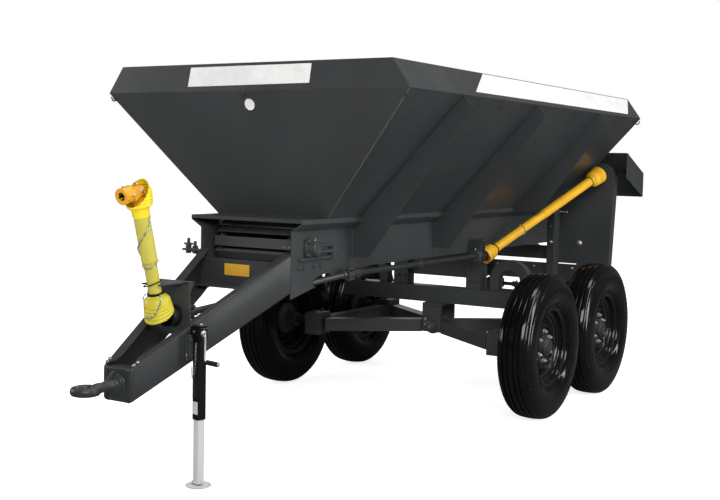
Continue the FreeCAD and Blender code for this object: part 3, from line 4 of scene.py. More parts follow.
import bmesh
import bpy
from mathutils import Matrix, Vector


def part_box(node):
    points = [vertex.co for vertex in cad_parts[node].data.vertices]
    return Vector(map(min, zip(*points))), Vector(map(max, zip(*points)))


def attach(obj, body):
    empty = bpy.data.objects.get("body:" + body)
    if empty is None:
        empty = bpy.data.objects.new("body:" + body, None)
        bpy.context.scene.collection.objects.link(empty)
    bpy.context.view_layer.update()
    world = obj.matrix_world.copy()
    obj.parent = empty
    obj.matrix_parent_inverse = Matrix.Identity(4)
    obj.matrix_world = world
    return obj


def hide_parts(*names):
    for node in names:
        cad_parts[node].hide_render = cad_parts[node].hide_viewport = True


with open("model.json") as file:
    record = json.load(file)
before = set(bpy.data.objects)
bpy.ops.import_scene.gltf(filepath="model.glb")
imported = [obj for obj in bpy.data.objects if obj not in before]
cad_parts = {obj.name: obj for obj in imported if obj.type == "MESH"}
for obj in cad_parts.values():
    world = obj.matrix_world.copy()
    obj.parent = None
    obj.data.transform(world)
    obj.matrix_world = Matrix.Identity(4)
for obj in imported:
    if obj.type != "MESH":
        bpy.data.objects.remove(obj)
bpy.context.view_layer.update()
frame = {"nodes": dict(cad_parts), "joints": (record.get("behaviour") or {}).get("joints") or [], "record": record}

# Everything below is in millimetres: X to the machine's left, Y the station behind the hopper's
# front rim, Z up. BASE turns that into the row frame, in metres. A turned section is a list of
# (height along the axis, radius), and a plate's outline is a list of (x, y) in its own plane.
MM = 0.001
FRONT_RIM_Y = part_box("hopper_side_left")[0].y
BASE = Matrix.Translation((0, FRONT_RIM_Y, 0)) @ Matrix.Scale(MM, 4)
X, Y, Z = Vector((1, 0, 0)), Vector((0, 1, 0)), Vector((0, 0, 1))
JOINTS = {joint["name"]: joint for joint in frame["joints"]}
FLIP = Matrix.Scale(-1, 4, X)


def vec(x, y, z):
    return Vector((x, y, z))


def shift(x, y, z):
    return Matrix.Translation((x, y, z))


def turned(angle, axis):
    return Matrix.Rotation(angle, 4, axis)


def angles(count, ahead=0.0):
    """Angles all round a circle, the first one ahead steps on."""
    return [2 * pi * (k + ahead) / count for k in range(count)]


def polar(radius, angle):
    return radius * cos(angle), radius * sin(angle)


def span(node):
    """Lowest and highest corner of a CAD node, in millimetres and stations."""
    low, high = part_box(node)
    back = BASE.inverted()
    return back @ low, back @ high


def joint_place(name):
    """Anchor of a joint, in millimetres and stations."""
    return BASE.inverted() @ Vector(JOINTS[name]["pos_m"])


# ---------------------------------------------------------------- materials
class Nodes:
    """Small helper round one material's node tree."""

    def __init__(self, name):
        self.material = bpy.data.materials.new(name)
        self.material.use_nodes = True
        self.tree = self.material.node_tree
        self.tree.nodes.clear()
        self.shader = self.add("ShaderNodeBsdfPrincipled")
        output = self.add("ShaderNodeOutputMaterial")
        self.link(self.shader.outputs[0], output.inputs[0])
        self.place = self.add("ShaderNodeTexCoord").outputs["Object"]

    def add(self, kind, **settings):
        node = self.tree.nodes.new(kind)
        for key, value in settings.items():
            setattr(node, key, value)
        return node

    def link(self, source, target):
        self.tree.links.new(source, target)

    def noise(self, scale, detail=4.0, rough=0.55, stretch=None):
        """Noise value, about 0.3 to 0.7, with features of 1/scale metres."""
        node = self.add("ShaderNodeTexNoise")
        node.inputs["Scale"].default_value = scale
        node.inputs["Detail"].default_value = detail
        node.inputs["Roughness"].default_value = rough
        place = self.place
        if stretch:
            mapping = self.add("ShaderNodeMapping")
            mapping.inputs["Scale"].default_value = stretch
            self.link(place, mapping.inputs["Vector"])
            place = mapping.outputs[0]
        self.link(place, node.inputs["Vector"])
        return node.outputs["Fac"]

    def span(self, value, low, high, to_low=0.0, to_high=1.0):
        """Remap a value, clamped."""
        node = self.add("ShaderNodeMapRange")
        for slot, number in zip((1, 2, 3, 4), (low, high, to_low, to_high)):
            node.inputs[slot].default_value = number
        self.link(value, node.inputs[0])
        return node.outputs[0]

    def math(self, operation, a, b):
        node = self.add("ShaderNodeMath", operation=operation)
        for slot, value in enumerate((a, b)):
            if isinstance(value, (int, float)):
                node.inputs[slot].default_value = value
            else:
                self.link(value, node.inputs[slot])
        return node.outputs[0]

    def mix(self, factor, a, b):
        """Mix two colours; each is a tuple or a socket."""
        node = self.add("ShaderNodeMix", data_type="RGBA")
        self.link(factor, node.inputs[0])
        for slot, value in ((6, a), (7, b)):
            if isinstance(value, tuple):
                node.inputs[slot].default_value = (*value, 1.0)
            else:
                self.link(value, node.inputs[slot])
        return node.outputs[2]

    def edges(self, radius, gain=2.2):
        """Rounded normal, and a mask of the edges, along which colour is lightened for wear and as a painted
        highlight.
        """
        bevel = self.add("ShaderNodeBevel", samples=4)
        bevel.inputs["Radius"].default_value = radius
        flat = self.add("ShaderNodeNewGeometry").outputs["Normal"]
        dot = self.add("ShaderNodeVectorMath", operation="DOT_PRODUCT")
        self.link(bevel.outputs[0], dot.inputs[0])
        self.link(flat, dot.inputs[1])
        away = self.math("SUBTRACT", 1.0, dot.outputs["Value"])
        return bevel.outputs[0], self.span(self.math("MULTIPLY", away, gain), 0.03, 0.5)

    def upward(self):
        """How far the surface faces up."""
        split = self.add("ShaderNodeSeparateXYZ")
        self.link(self.add("ShaderNodeNewGeometry").outputs["Normal"], split.inputs[0])
        return self.span(split.outputs[2], 0.25, 1.0)

    def bump(self, height, distance, strength=1.0, normal=None):
        node = self.add("ShaderNodeBump")
        node.inputs["Distance"].default_value = distance
        node.inputs["Strength"].default_value = strength
        self.link(height, node.inputs["Height"])
        if normal:
            self.link(normal, node.inputs["Normal"])
        return node.outputs[0]

    def finish(self, colour, rough, normal=None, **fixed):
        self.link(colour, self.shader.inputs["Base Color"])
        self.link(rough, self.shader.inputs["Roughness"])
        if normal:
            self.link(normal, self.shader.inputs["Normal"])
        for name, value in fixed.items():
            self.shader.inputs[name.replace("_", " ")].default_value = value
        return self.material


def shade(colour, factor):
    return tuple(min(1.0, part * factor) for part in colour)


def paint(name, colour, rough=0.34, dust=0.10, edge=0.0022, coat=0.25, ior=1.5):
    """Enamel on sheet steel: faint staining, orange peel, dust on top faces, and edges lightened for wear and as a
    painted highlight.
    """
    n = Nodes(name)
    normal, rim = n.edges(edge)
    stain = n.span(n.noise(2.3, 5.0), 0.35, 0.68)
    tone = n.mix(stain, shade(colour, 0.90), shade(colour, 1.12))
    speck = n.span(n.noise(46.0, 6.0, 0.7), 0.60, 0.78, 0.0, 0.22)
    tone = n.mix(speck, tone, shade(colour, 1.7))
    dusty = n.math("MULTIPLY", n.upward(), n.span(n.noise(9.0, 6.0, 0.65), 0.3, 0.75, 0.2, 1.0))
    tone = n.mix(n.math("MULTIPLY", dusty, dust), tone, (0.33, 0.32, 0.30))
    # Edges lightened in patches: partly paint worn off, partly a painted highlight.
    wear_and_edge_highlight = n.math("MULTIPLY", rim, n.span(n.noise(30.0, 5.0), 0.25, 0.7, 0.25, 0.60))
    tone = n.mix(wear_and_edge_highlight, tone, shade(colour, 2.3))
    sheen = n.span(n.noise(5.0, 4.0), 0.3, 0.7, rough - 0.06, rough + 0.09)
    peel = n.bump(n.noise(420.0, 2.0), 0.0004, 0.22, normal)
    peel = n.bump(n.noise(1.7, 3.0), 0.004, 0.16, peel)
    return n.finish(tone, sheen, peel, Coat_Weight=coat, Coat_Roughness=0.16, IOR=ior)


def metal(name, colour, rough, grain=(1.0, 1.0, 1.0), stain=(0.5, 0.47, 0.42), tarnish=0.25,
          metallic=1.0):
    """Bare or plated steel with fine brushing and patchy tarnish."""
    n = Nodes(name)
    normal, rim = n.edges(0.0009)
    line = n.noise(260.0, 3.0, 0.6, grain)
    tone = n.mix(n.span(line, 0.3, 0.7), shade(colour, 0.82), shade(colour, 1.08))
    patch = n.span(n.noise(24.0, 6.0, 0.7), 0.46, 0.74, 0.0, tarnish)
    tone = n.mix(patch, tone, shade(stain, 0.45))
    # Edges lightened in colour: a painted highlight.
    tone = n.mix(n.math("MULTIPLY", rim, 0.4), tone, shade(colour, 1.25))
    sheen = n.span(line, 0.3, 0.7, rough - 0.07, rough + 0.10)
    return n.finish(tone, sheen, n.bump(line, 0.0003, 0.25, normal), Metallic=metallic)


def rubber(name, colour, rough=0.30, coat=0.35):
    """Moulded black rubber with a dressed shine, faint mould grain and fine pale specks of dust."""
    n = Nodes(name)
    blotch = n.span(n.noise(7.0, 6.0, 0.65), 0.35, 0.7)
    tone = n.mix(blotch, shade(colour, 0.75), shade(colour, 1.35))
    fine = n.noise(900.0, 3.0, 0.6)
    tone = n.mix(n.span(fine, 0.55, 0.75, 0.0, 0.3), tone, shade(colour, 1.8))
    sheen = n.span(n.noise(5.0, 3.0), 0.3, 0.7, rough - 0.05, rough + 0.08)
    grain = n.bump(fine, 0.0003, 0.10)
    return n.finish(tone, sheen, grain, Coat_Weight=coat, Coat_Roughness=0.09, IOR=1.31)


def plastic(name, colour, rough=0.36, grime=(0.30, 0.20, 0.05), dirty=0.25):
    """Moulded plastic with scuffs and a little grime in patches."""
    n = Nodes(name)
    normal, rim = n.edges(0.0012)
    tone = n.mix(n.span(n.noise(14.0, 5.0), 0.3, 0.7), shade(colour, 0.90), shade(colour, 1.06))
    dirt = n.span(n.noise(38.0, 7.0, 0.72), 0.52, 0.74, 0.0, dirty)
    tone = n.mix(dirt, tone, grime)
    scuff = n.noise(120.0, 4.0, 0.6, (1.0, 1.0, 0.12))
    tone = n.mix(n.span(scuff, 0.62, 0.72, 0.0, 0.18), tone, shade(colour, 1.25))
    # Edges lightened in colour: a painted highlight.
    tone = n.mix(n.math("MULTIPLY", rim, 0.35), tone, shade(colour, 1.2))
    sheen = n.span(scuff, 0.3, 0.7, rough - 0.06, rough + 0.14)
    return n.finish(tone, sheen, n.bump(scuff, 0.0003, 0.2, normal), IOR=1.47)


GREY = paint("hopper_enamel", (0.0350, 0.0385, 0.0405), rough=0.42, coat=0.12)
LIGHT_GREY = paint("trough_enamel", (0.0410, 0.0455, 0.0475), rough=0.42, coat=0.12)
DRAWBAR_GREY = paint("drawbar_enamel", (0.0245, 0.0275, 0.0290), rough=0.42, coat=0.06)
DARK_GREY = paint("chassis_enamel", (0.0390, 0.0425, 0.0445), rough=0.42, dust=0.14, coat=0.12)
HUB_GREY = paint("hub_enamel", (0.022, 0.025, 0.0255), rough=0.55, coat=0.0)
SLAT_GREY = paint("slat_enamel", (0.046, 0.048, 0.049), rough=0.55, dust=0.2, coat=0.0, edge=0.001)
GEAR_GREY = paint("gear_case_enamel", (0.040, 0.042, 0.044), rough=0.5, coat=0.0, edge=0.004)
WELD = paint("painted_weld", (0.0420, 0.0455, 0.0480), rough=0.42, dust=0.0, edge=0.0005)
GLOSS_BLACK = paint("rim_enamel", (0.0050, 0.0054, 0.0056), rough=0.15, dust=0.02, coat=0.2,
                    ior=1.36)
JACK_BLACK = paint("jack_enamel", (0.0036, 0.0040, 0.0040), rough=0.45, dust=0.02, coat=0.0,
                   ior=1.28)
JACK_GLOSS = paint("jack_gloss_label", (0.0035, 0.0036, 0.0037), rough=0.2, dust=0.0, coat=0.7)
SHAFT_PAINT = paint("shaft_enamel", (0.030, 0.032, 0.033), rough=0.42, dust=0.0, edge=0.0012,
                    coat=0.1)
TYRE = rubber("tyre_rubber", (0.0030, 0.0033, 0.0034), rough=0.15, coat=0.30)
SOFT_BLACK = rubber("black_moulding", (0.010, 0.010, 0.010), rough=0.45, coat=0.05)
STEEL = metal("oiled_steel", (0.34, 0.33, 0.31), 0.38, (1.0, 1.0, 8.0), tarnish=0.55)
CHAIN = metal("chain_steel", (0.13, 0.13, 0.13), 0.46, tarnish=0.6)
ZINC = metal("zinc_plate", (0.80, 0.80, 0.80), 0.40, (6.0, 1.0, 1.0), tarnish=0.08)
ALUMINIUM = metal("bright_zinc", (0.74, 0.75, 0.76), 0.34, (6.0, 1.0, 1.0), tarnish=0.08,
                  metallic=0.3)
STAINLESS = metal("stainless_sheet", (0.55, 0.55, 0.54), 0.26, (1.0, 14.0, 1.0), tarnish=0.15)
YELLOW = plastic("light_yellow_guard", (0.56, 0.50, 0.070))
GOLD = plastic("golden_guard", (0.92, 0.50, 0.014), dirty=0.10)
WHITE = plastic("white_sign", (0.80, 0.80, 0.79), grime=(0.55, 0.54, 0.52), dirty=0.08)
AMBER = plastic("amber_label", (0.72, 0.40, 0.03), dirty=0.1)
BELL_YELLOW = plastic("bell_yellow", (0.60, 0.52, 0.035), dirty=0.16)
GOLDEN_YELLOW = plastic("upper_bell_yellow", (0.92, 0.68, 0.022), dirty=0.10)
ORANGE = plastic("joint_paint", (0.78, 0.36, 0.012), dirty=0.3)

CAD_FINISH = {
    "body_paint": GREY,
    "chassis_paint": DARK_GREY,
    "tyre": TYRE,
    "rim_paint": GLOSS_BLACK,
    "bare_steel": STEEL,
    "zinc_steel": ZINC,
    "stainless": STAINLESS,
    "guard_yellow": YELLOW,
    "guard_gold": GOLD,
    "gear_case": GEAR_GREY,
}
OTHER_FINISH = {
    "trough_side_left": LIGHT_GREY,
    "trough_side_right": LIGHT_GREY,
    "wing_plates": LIGHT_GREY,
    "conveyor_floor": CHAIN,
}
for part in frame["record"]["subparts"]:
    node = frame["nodes"][part["node"]]
    finish = OTHER_FINISH.get(part["node"], CAD_FINISH[part["material_slot"]])
    for slot in node.material_slots:
        slot.material = finish


# ---------------------------------------------------------------- shapes
def aim(origin, axis, twist=0.0):
    """Matrix that puts local Z along an axis at a point."""
    turn = Vector(axis).normalized().to_track_quat("Z", "Y").to_matrix().to_4x4()
    return Matrix.Translation(origin) @ turn @ turned(twist, "Z")


def grid(rows, close_rows=False, close_columns=True):
    """Faces between rows of points."""
    width = len(rows[0])
    verts = [point for row in rows for point in row]
    faces = []
    for i in range(len(rows) if close_rows else len(rows) - 1):
        j = (i + 1) % len(rows)
        for k in range(width if close_columns else width - 1):
            m = (k + 1) % width
            faces.append((i * width + k, i * width + m, j * width + m, j * width + k))
    return verts, faces


def capped(rows):
    """Skin over rows of points, with its first and last row closed."""
    verts, faces = grid(rows)
    count = len(rows[0])
    faces += [tuple(range(count))[::-1], tuple(range(len(verts) - count, len(verts)))]
    return verts, faces


def lathe(profile, steps=32, closed=False):
    """Shape turned about local Z; a zero radius is a pole."""
    verts, rings = [], []
    for height, radius in profile:
        count = 1 if radius < 1e-6 else steps
        rings.append(range(len(verts), len(verts) + count))
        verts += [(*polar(radius, angle), height) for angle in angles(steps)[:count]]
    faces = []
    pairs = list(zip(rings, rings[1:])) + ([(rings[-1], rings[0])] if closed else [])
    for a, b in pairs:
        for k in range(steps):
            m = (k + 1) % steps
            if len(a) == 1 and len(b) > 1:
                faces.append((a[0], b[m], b[k]))
            elif len(b) == 1 and len(a) > 1:
                faces.append((a[k], a[m], b[0]))
            elif len(a) > 1:
                faces.append((a[k], a[m], b[m], b[k]))
    return verts, faces


def rod(length, radius, bevel=1.0, steps=20):
    """Round bar with chamfered ends, along local Z from 0."""
    return lathe([(0, 0), (0, radius - bevel), (bevel, radius), (length - bevel, radius),
                  (length, radius - bevel), (length, 0)], steps)


def slab(outline, thickness, bevel=1.0):
    """Plate from its outline, from z 0 up, with chamfered rims."""
    corners = [Vector(point) for point in outline]
    count = len(corners)
    centre = Vector((sum(p[0] for p in outline), sum(p[1] for p in outline))) / count

    def inset(amount, height):
        row = []
        for i, point in enumerate(corners):
            before, after = corners[i - 1] - point, corners[(i + 1) % count] - point
            turn = before.normalized() + after.normalized()
            if turn.length < 1e-4:
                turn = Vector((-after.y, after.x))
            turn = turn.normalized()
            if turn.dot(centre - point) < 0:
                turn = -turn
            half = before.angle(after, pi) / 2
            row.append((*(point + turn * amount / max(0.3, sin(half))), height))
        return row

    return capped([inset(bevel, 0), inset(0, bevel), inset(0, thickness - bevel),
                   inset(bevel, thickness)])


def rounded(width, height, radius, steps=5):
    """Outline of a rectangle with round corners, centred."""
    points = []
    for cx, cy, start in ((1, 1, 0), (-1, 1, 90), (-1, -1, 180), (1, -1, 270)):
        for k in range(steps + 1):
            x, y = polar(radius, radians(start + 90 * k / steps))
            points.append((cx * (width / 2 - radius) + x, cy * (height / 2 - radius) + y))
    return points


def block(size_x, size_y, size_z, bevel=2.0):
    """Box with chamfered edges, centred in x and y, from z 0 up."""
    corner = min(bevel, size_x / 3, size_y / 3)
    return slab(rounded(size_x, size_y, corner, 2), size_z, min(bevel, size_z / 3))


def sweep(path, radius, steps=8, closed=False, ripple=None):
    """Round bar along points; ripple(k) scales the radius at point k."""
    path = [Vector(p) for p in path]
    count = len(path)
    rows, side = [], None
    for i, point in enumerate(path):
        ahead = path[(i + 1) % count] if closed or i + 1 < count else point
        behind = path[i - 1] if closed or i else point
        tangent = (ahead - behind).normalized()
        if side is None:
            side = tangent.orthogonal().normalized()
        side = (side - tangent * side.dot(tangent)).normalized()
        other = tangent.cross(side)
        r = radius * (ripple(i) if ripple else 1.0)
        rows.append([point + side * r * cos(a) + other * r * sin(a)
                     for a in angles(steps)])
    return grid(rows, close_rows=True) if closed else capped(rows)


def arc(centre, radius, start, end, u, v, steps=10):
    """Points on an arc from start to end degrees in the plane of u and v."""
    turns = [radians(start + (end - start) * k / steps) for k in range(steps + 1)]
    return [Vector(centre) + u * radius * cos(a) + v * radius * sin(a) for a in turns]


def hexagon(across, height, top=0.8):
    """Hexagon head or nut from z 0 up with its corners turned off."""
    r = across / sqrt(3)
    return lathe([(0, 0), (0, r * 0.97), (height * 0.08, r), (height * top, r),
                  (height, r * 0.86), (height, 0)], 6)


def frame_of(x_axis, y_axis, z_axis, origin):
    """Matrix from its three axes and its origin."""
    return Matrix((*zip(x_axis, y_axis, z_axis, origin), (0, 0, 0, 1)))


def crosswise(y):
    """Frame for an (x, z) outline whose thickness runs forward from a station."""
    return frame_of((1, 0, 0), (0, 0, 1), (0, -1, 0), (0, y, 0))


def lengthwise(x):
    """Frame for a (station, z) outline whose thickness runs to the left from x."""
    return frame_of((0, 1, 0), (0, 0, 1), (1, 0, 0), (x, 0, 0))


class Piece:
    """One visible piece, gathered from simple shapes; nodes are the CAD nodes it replaces."""

    def __init__(self, name, material, slot, *nodes, body="chassis"):
        self.name, self.body, self.slot, self.nodes = name, body, slot, nodes
        self.materials = [material]
        self.bm = bmesh.new()

    def add(self, shape, where=None, material=None):
        """Add a shape at a matrix, a point, or where it is."""
        if isinstance(where, Vector):
            where = Matrix.Translation(where)
        where = where or Matrix()
        material = material or self.materials[0]
        if material not in self.materials:
            self.materials.append(material)
        index = self.materials.index(material)
        made = [self.bm.verts.new(where @ Vector(v)) for v in shape[0]]
        for corners in shape[1]:
            self.bm.faces.new([made[i] for i in corners]).material_index = index
        return self

    def spun(self, profile, steps, point, axis, material=None, closed=False):
        """Turned shape along an axis from a point."""
        return self.add(lathe(profile, steps, closed), aim(point, axis), material)

    def bolt(self, point, axis, across, tail=0.0, material=ZINC, twist=0.3, washer=True):
        """Hexagon head on its washer, with a threaded end if tail is given."""
        where = aim(Vector(point), axis, twist)
        lift = 0.0
        if washer:
            rim = across * 0.66
            self.add(lathe([(0, 0), (0, rim), (across * 0.1, rim), (across * 0.13, across * 0.6),
                            (across * 0.13, 0)], 20), where, material)
            lift = across * 0.12
        self.add(hexagon(across, across * 0.5), where @ shift(0, 0, lift), material)
        if tail:
            top = across * 0.5 + lift
            thread, turns = [(0, 0)], int(tail / 2)
            for k in range(turns):
                thread += [(top + k * 2, across * 0.29), (top + k * 2 + 1, across * 0.25)]
            self.add(lathe(thread + [(top + turns * 2, 0)], 12), where, material)
        return self

    def weld(self, points, radius=3.2, pitch=7.0, closed=False):
        """Rippled bead along a line of points."""
        path = []
        corners = [Vector(p) for p in points]
        if closed:
            corners.append(corners[0])
        for a, b in zip(corners, corners[1:]):
            count = max(2, int((b - a).length / pitch * 2))
            path += [a.lerp(b, k / count) for k in range(count)]
        if not closed:
            path.append(corners[-1])
        bead = sweep(path, radius, 6, closed, lambda k: 1.0 if k % 2 else 0.82)
        return self.add(bead, None, WELD)

    def mirrored(self):
        """Double everything so far to the machine's right side."""
        made = bmesh.ops.duplicate(self.bm, geom=self.bm.verts[:] + self.bm.faces[:])["geom"]
        verts = [g for g in made if isinstance(g, bmesh.types.BMVert)]
        faces = [g for g in made if isinstance(g, bmesh.types.BMFace)]
        bmesh.ops.transform(self.bm, matrix=FLIP, verts=verts)
        bmesh.ops.reverse_faces(self.bm, faces=faces)
        return self

    def done(self, sharp=34.0):
        """Write the mesh and let it ride on its body."""
        bmesh.ops.transform(self.bm, matrix=BASE, verts=self.bm.verts)
        bmesh.ops.recalc_face_normals(self.bm, faces=self.bm.faces)
        mesh = bpy.data.meshes.new(self.name)
        self.bm.to_mesh(mesh)
        self.bm.free()
        for material in self.materials:
            mesh.materials.append(material)
        mesh.shade_smooth()
        mesh.set_sharp_from_angle(angle=radians(sharp))
        made = bpy.data.objects.new(self.name, mesh)
        bpy.context.scene.collection.objects.link(made)
        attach(made, self.body)
        if self.nodes:
            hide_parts(*self.nodes)
        return made


# ---------------------------------------------------------------- wheels
def mirror(section):
    """The other half of a turned section, which goes on from its end."""
    return [(-height, radius) for height, radius in reversed(section)]


def tyre_section():
    """Closed section of a ribbed implement tyre."""
    tread = [(0, 403), (10, 402.8), (12, 400), (14, 393.5), (20, 393.2), (22, 399.5), (24, 402.2),
             (39, 400.8), (41, 398), (43, 391.5), (48, 390.8), (50, 396), (52, 399), (63, 395.6),
             (68, 392.5), (72, 388.5), (74, 384), (76.5, 383), (79, 383.5), (84, 376.5),
             (88, 369.5), (91, 362), (92.5, 355), (94.2, 354), (96.4, 350), (98.6, 338),
             (100.6, 324), (102, 311), (102.3, 302), (102, 291), (100.8, 283), (101.4, 280),
             (101, 277), (99.4, 274.5), (97.2, 266), (93.5, 256), (90.8, 250), (91.2, 247),
             (90, 244), (86.8, 241.5), (81.5, 234.5), (76, 229.5), (71.5, 226.6), (67.8, 225.2),
             (66.9, 221.5)]
    inner = [(62.2, 207.5), (58, 205.2), (45, 205.2), (47, 212), (64, 232), (80, 260), (84, 303),
             (78, 346), (56, 374)]
    return mirror(tread) + tread[1:] + inner + [(0, 384)] + mirror(inner)


def wheel_parts(place, side, name):
    """Tyre and wheel of one place; side is 1 for the machine's left."""
    body = "wheel_" + name
    where = aim(place, X * side)
    tyre = Piece("rib_tyre_" + name, TYRE, "tyre", "tyre_" + name, body=body)
    tyre.add(lathe(tyre_section(), 144, closed=True), where)
    for angle in angles(72):
        for end in (1, -1):
            tyre.add(block(2.6, 12, 1.8, 0.6), where @ turned(angle, "Z")
                     @ shift(366.5, 0, end * 88.6) @ turned(radians(62 * end), "Y")
                     @ turned(radians(90), "Z"))
    tyre.done(28)

    wheel = Piece("steel_wheel_" + name, GLOSS_BLACK, "rim_paint", "wheel_" + name, body=body)
    rim = [(66.2, 219), (65.6, 221), (64, 221.4), (62.6, 220.4), (62.4, 217), (62.4, 206),
           (61, 203.2), (57, 201.6), (45, 200.6), (36, 199.4), (32.5, 197), (27, 182),
           (23, 176.5), (18, 174.9)]
    well = [(-66.2, 206), (-64.5, 201), (-60, 197.8), (-50, 196.6), (-38, 195.6), (-35.5, 194),
            (-31, 181), (-26, 173.4), (-20, 170.9)]
    wheel.add(lathe(rim + mirror(rim) + well + mirror(well), 112, closed=True), where)
    dish = [(15, 172.5), (17, 171.6), (13, 162), (12.5, 155), (15, 149), (21, 139), (28, 130),
            (33, 122), (36.6, 114), (36.4, 110), (33, 106), (26, 103.5), (23, 101), (22, 97),
            (22, 40)]
    rear = [(a - 6, r - (2 if 100 < r < 135 else 0)) for a, r in reversed(dish)]
    wheel.add(lathe(dish + rear, 96, closed=True), where)
    wheel.weld([where @ vec(*polar(171.5, angle), 15.5) for angle in angles(64)], 3.0, closed=True)
    hub = [(-92, 25.6), (-92, 41), (-89, 45), (-66, 45.5), (-64, 43), (-58, 43), (-56, 46),
           (-26, 46), (-16, 52), (-11, 70), (-8, 88), (-8, 95), (-6, 96), (15.4, 96), (15.9, 95),
           (15.9, 62), (22.2, 60), (22.4, 54), (24, 51), (26, 50), (46, 50), (48.6, 48.8),
           (50, 46), (51, 42), (58, 39), (60.5, 34), (61, 31), (59.6, 30), (59.6, 0), (31, 0),
           (31, 25.6)]
    wheel.add(lathe(hub, 48), where, HUB_GREY)
    for angle in angles(6, 0.5):
        wheel.bolt(where @ vec(*polar(81, angle), 22), X * side, 22, 10, twist=angle)
    valve = [(0, 0), (0, 8), (3, 8), (5, 6.4), (12, 5), (14, 4), (38, 4), (38, 5), (46, 5), (47, 4),
             (47, 0)]
    wheel.add(lathe(valve, 14), where @ shift(158, 0, 13), SOFT_BLACK)
    wheel.done()


for corner in ("front_left", "front_right", "rear_left", "rear_right"):
    wheel_parts(joint_place("wheel_spin_" + corner), 1 if corner.endswith("left") else -1, corner)


# ---------------------------------------------------------------- conveyor
LOOP_LOW, LOOP_HIGH = span("conveyor_loop")
LOOP_RADIUS = (LOOP_HIGH.z - LOOP_LOW.z) / 2
LOOP_Z = (LOOP_HIGH.z + LOOP_LOW.z) / 2
LOOP_FRONT = LOOP_LOW.y + LOOP_RADIUS
LOOP_REAR = LOOP_HIGH.y - LOOP_RADIUS
CHAIN_RADIUS = LOOP_RADIUS - 16
CHAIN_X = 200
TROUGH_X = 270.0
SHAFT_RADIUS = 20.0


def loop_point(s, radius):
    """Place and tangent angle at a length along the chain's pitch line."""
    straight = LOOP_REAR - LOOP_FRONT
    turn = pi * CHAIN_RADIUS
    s %= 2 * (straight + turn)
    if s < straight:
        return vec(0, LOOP_REAR - s, LOOP_Z + radius), 0.0
    s -= straight
    if s < turn:
        angle = s / CHAIN_RADIUS
        return vec(0, LOOP_FRONT - radius * sin(angle),
                   LOOP_Z + radius * cos(angle)), angle
    s -= turn
    if s < straight:
        return vec(0, LOOP_FRONT + s, LOOP_Z - radius), pi
    angle = pi + (s - straight) / CHAIN_RADIUS
    return vec(0, LOOP_REAR - radius * sin(angle), LOOP_Z + radius * cos(angle)), angle


def conveyor():
    """Two roller chains with folded slats between them."""
    slats, link_radius, quarter = 112, 9.5, pi / 2
    pitch = (LOOP_REAR - LOOP_FRONT + pi * CHAIN_RADIUS) / slats
    chain = Piece("conveyor_chains", CHAIN, "bare_steel", "conveyor_loop")
    link = []
    for end, start in ((-1, 90), (1, -90)):
        for angle in range(start, start + 181, 45):
            x, y = polar(link_radius, radians(angle))
            link.append((end * pitch / 2 + x, y))
    plate = slab(link, 3, 0.5)
    roller = lathe([(-11, 0), (-11, 5), (-7, 5), (-7, 8), (7, 8), (7, 5), (11, 5), (11, 0)], 10)
    for k in range(2 * slats):
        point, angle = loop_point(k * pitch, CHAIN_RADIUS)
        middle, lean = loop_point((k + 0.5) * pitch, CHAIN_RADIUS)
        for side in (-1, 1):
            chain.add(roller, Matrix.Translation(point + X * CHAIN_X * side)
                      @ turned(angle, "X") @ turned(quarter, "Y"))
            for offset in (4.5, -7.5) if k % 2 else (7.7, -10.7):
                chain.add(plate, Matrix.Translation(middle + X * (CHAIN_X * side + offset))
                          @ turned(lean, "X") @ turned(quarter, "Y") @ turned(quarter, "Z"))
    chain.done()

    bars = Piece("conveyor_slats", SLAT_GREY, "bare_steel")
    half = LOOP_HIGH.x - 1
    fold = [(-24, 15.4), (-24, 10.6), (20, 10.6), (20, -3), (24.5, -3), (24.5, 13.4), (22.6, 15.4)]
    bar = capped([[(x, y, z) for y, z in fold] for x in (0, 2 * half)])
    head = hexagon(13, 3.2)
    for k in range(slats):
        point, angle = loop_point(k * 2 * pitch, CHAIN_RADIUS)
        where = Matrix.Translation(point - X * half) @ turned(angle, "X")
        bars.add(bar, where)
        for x in (-CHAIN_X - 14, -CHAIN_X + 14, CHAIN_X - 14, CHAIN_X + 14):
            bars.add(head, where @ shift(half + x, -12, 12.6), STEEL)
    bars.done()


def chain_shafts():
    """Conveyor shafts with toothed chain wheels, set screws and end caps."""
    low, high = span("conveyor_shafts")
    piece = Piece("conveyor_cross_shafts", SLAT_GREY, "bare_steel", "conveyor_shafts")
    wave = (1, 0.92, 0.35, 0.0, 0.35, 0.92)
    teeth = 11
    rim = [polar(CHAIN_RADIUS - 8 + 9 * wave[k % 6], angle)
           for k, angle in enumerate(angles(teeth * 6))]
    sprocket = capped([[(x * size, y * size, z) for x, y in rim]
                       for size, z in ((0.97, -4.2), (1, -3), (1, 3), (0.97, 4.2))])
    for y in (LOOP_FRONT, LOOP_REAR):
        piece.add(rod(high.x - low.x, SHAFT_RADIUS, 2.5, 28), aim(vec(low.x, y, LOOP_Z), X))
        for side in (-1, 1):
            wheel = aim(vec(side * CHAIN_X, y, LOOP_Z), X * side)
            piece.add(sprocket, wheel, CHAIN)
            piece.add(lathe([(-22, 20), (-22, 34), (-20, 36), (20, 36), (22, 34), (22, 20)], 28),
                      wheel, CHAIN)
            for turn in (0.4, 2.0):
                piece.add(hexagon(10, 8), wheel @ turned(turn, "Z") @ shift(34, 0, 15)
                          @ turned(pi / 2, "Y"), ZINC)
            piece.spun([(0, 0), (0, 11), (1.5, 12), (3, 11), (3, 0)], 20,
                       vec(side * high.x, y, LOOP_Z) - X * side * 3.4, X * side, ZINC)
    piece.done()


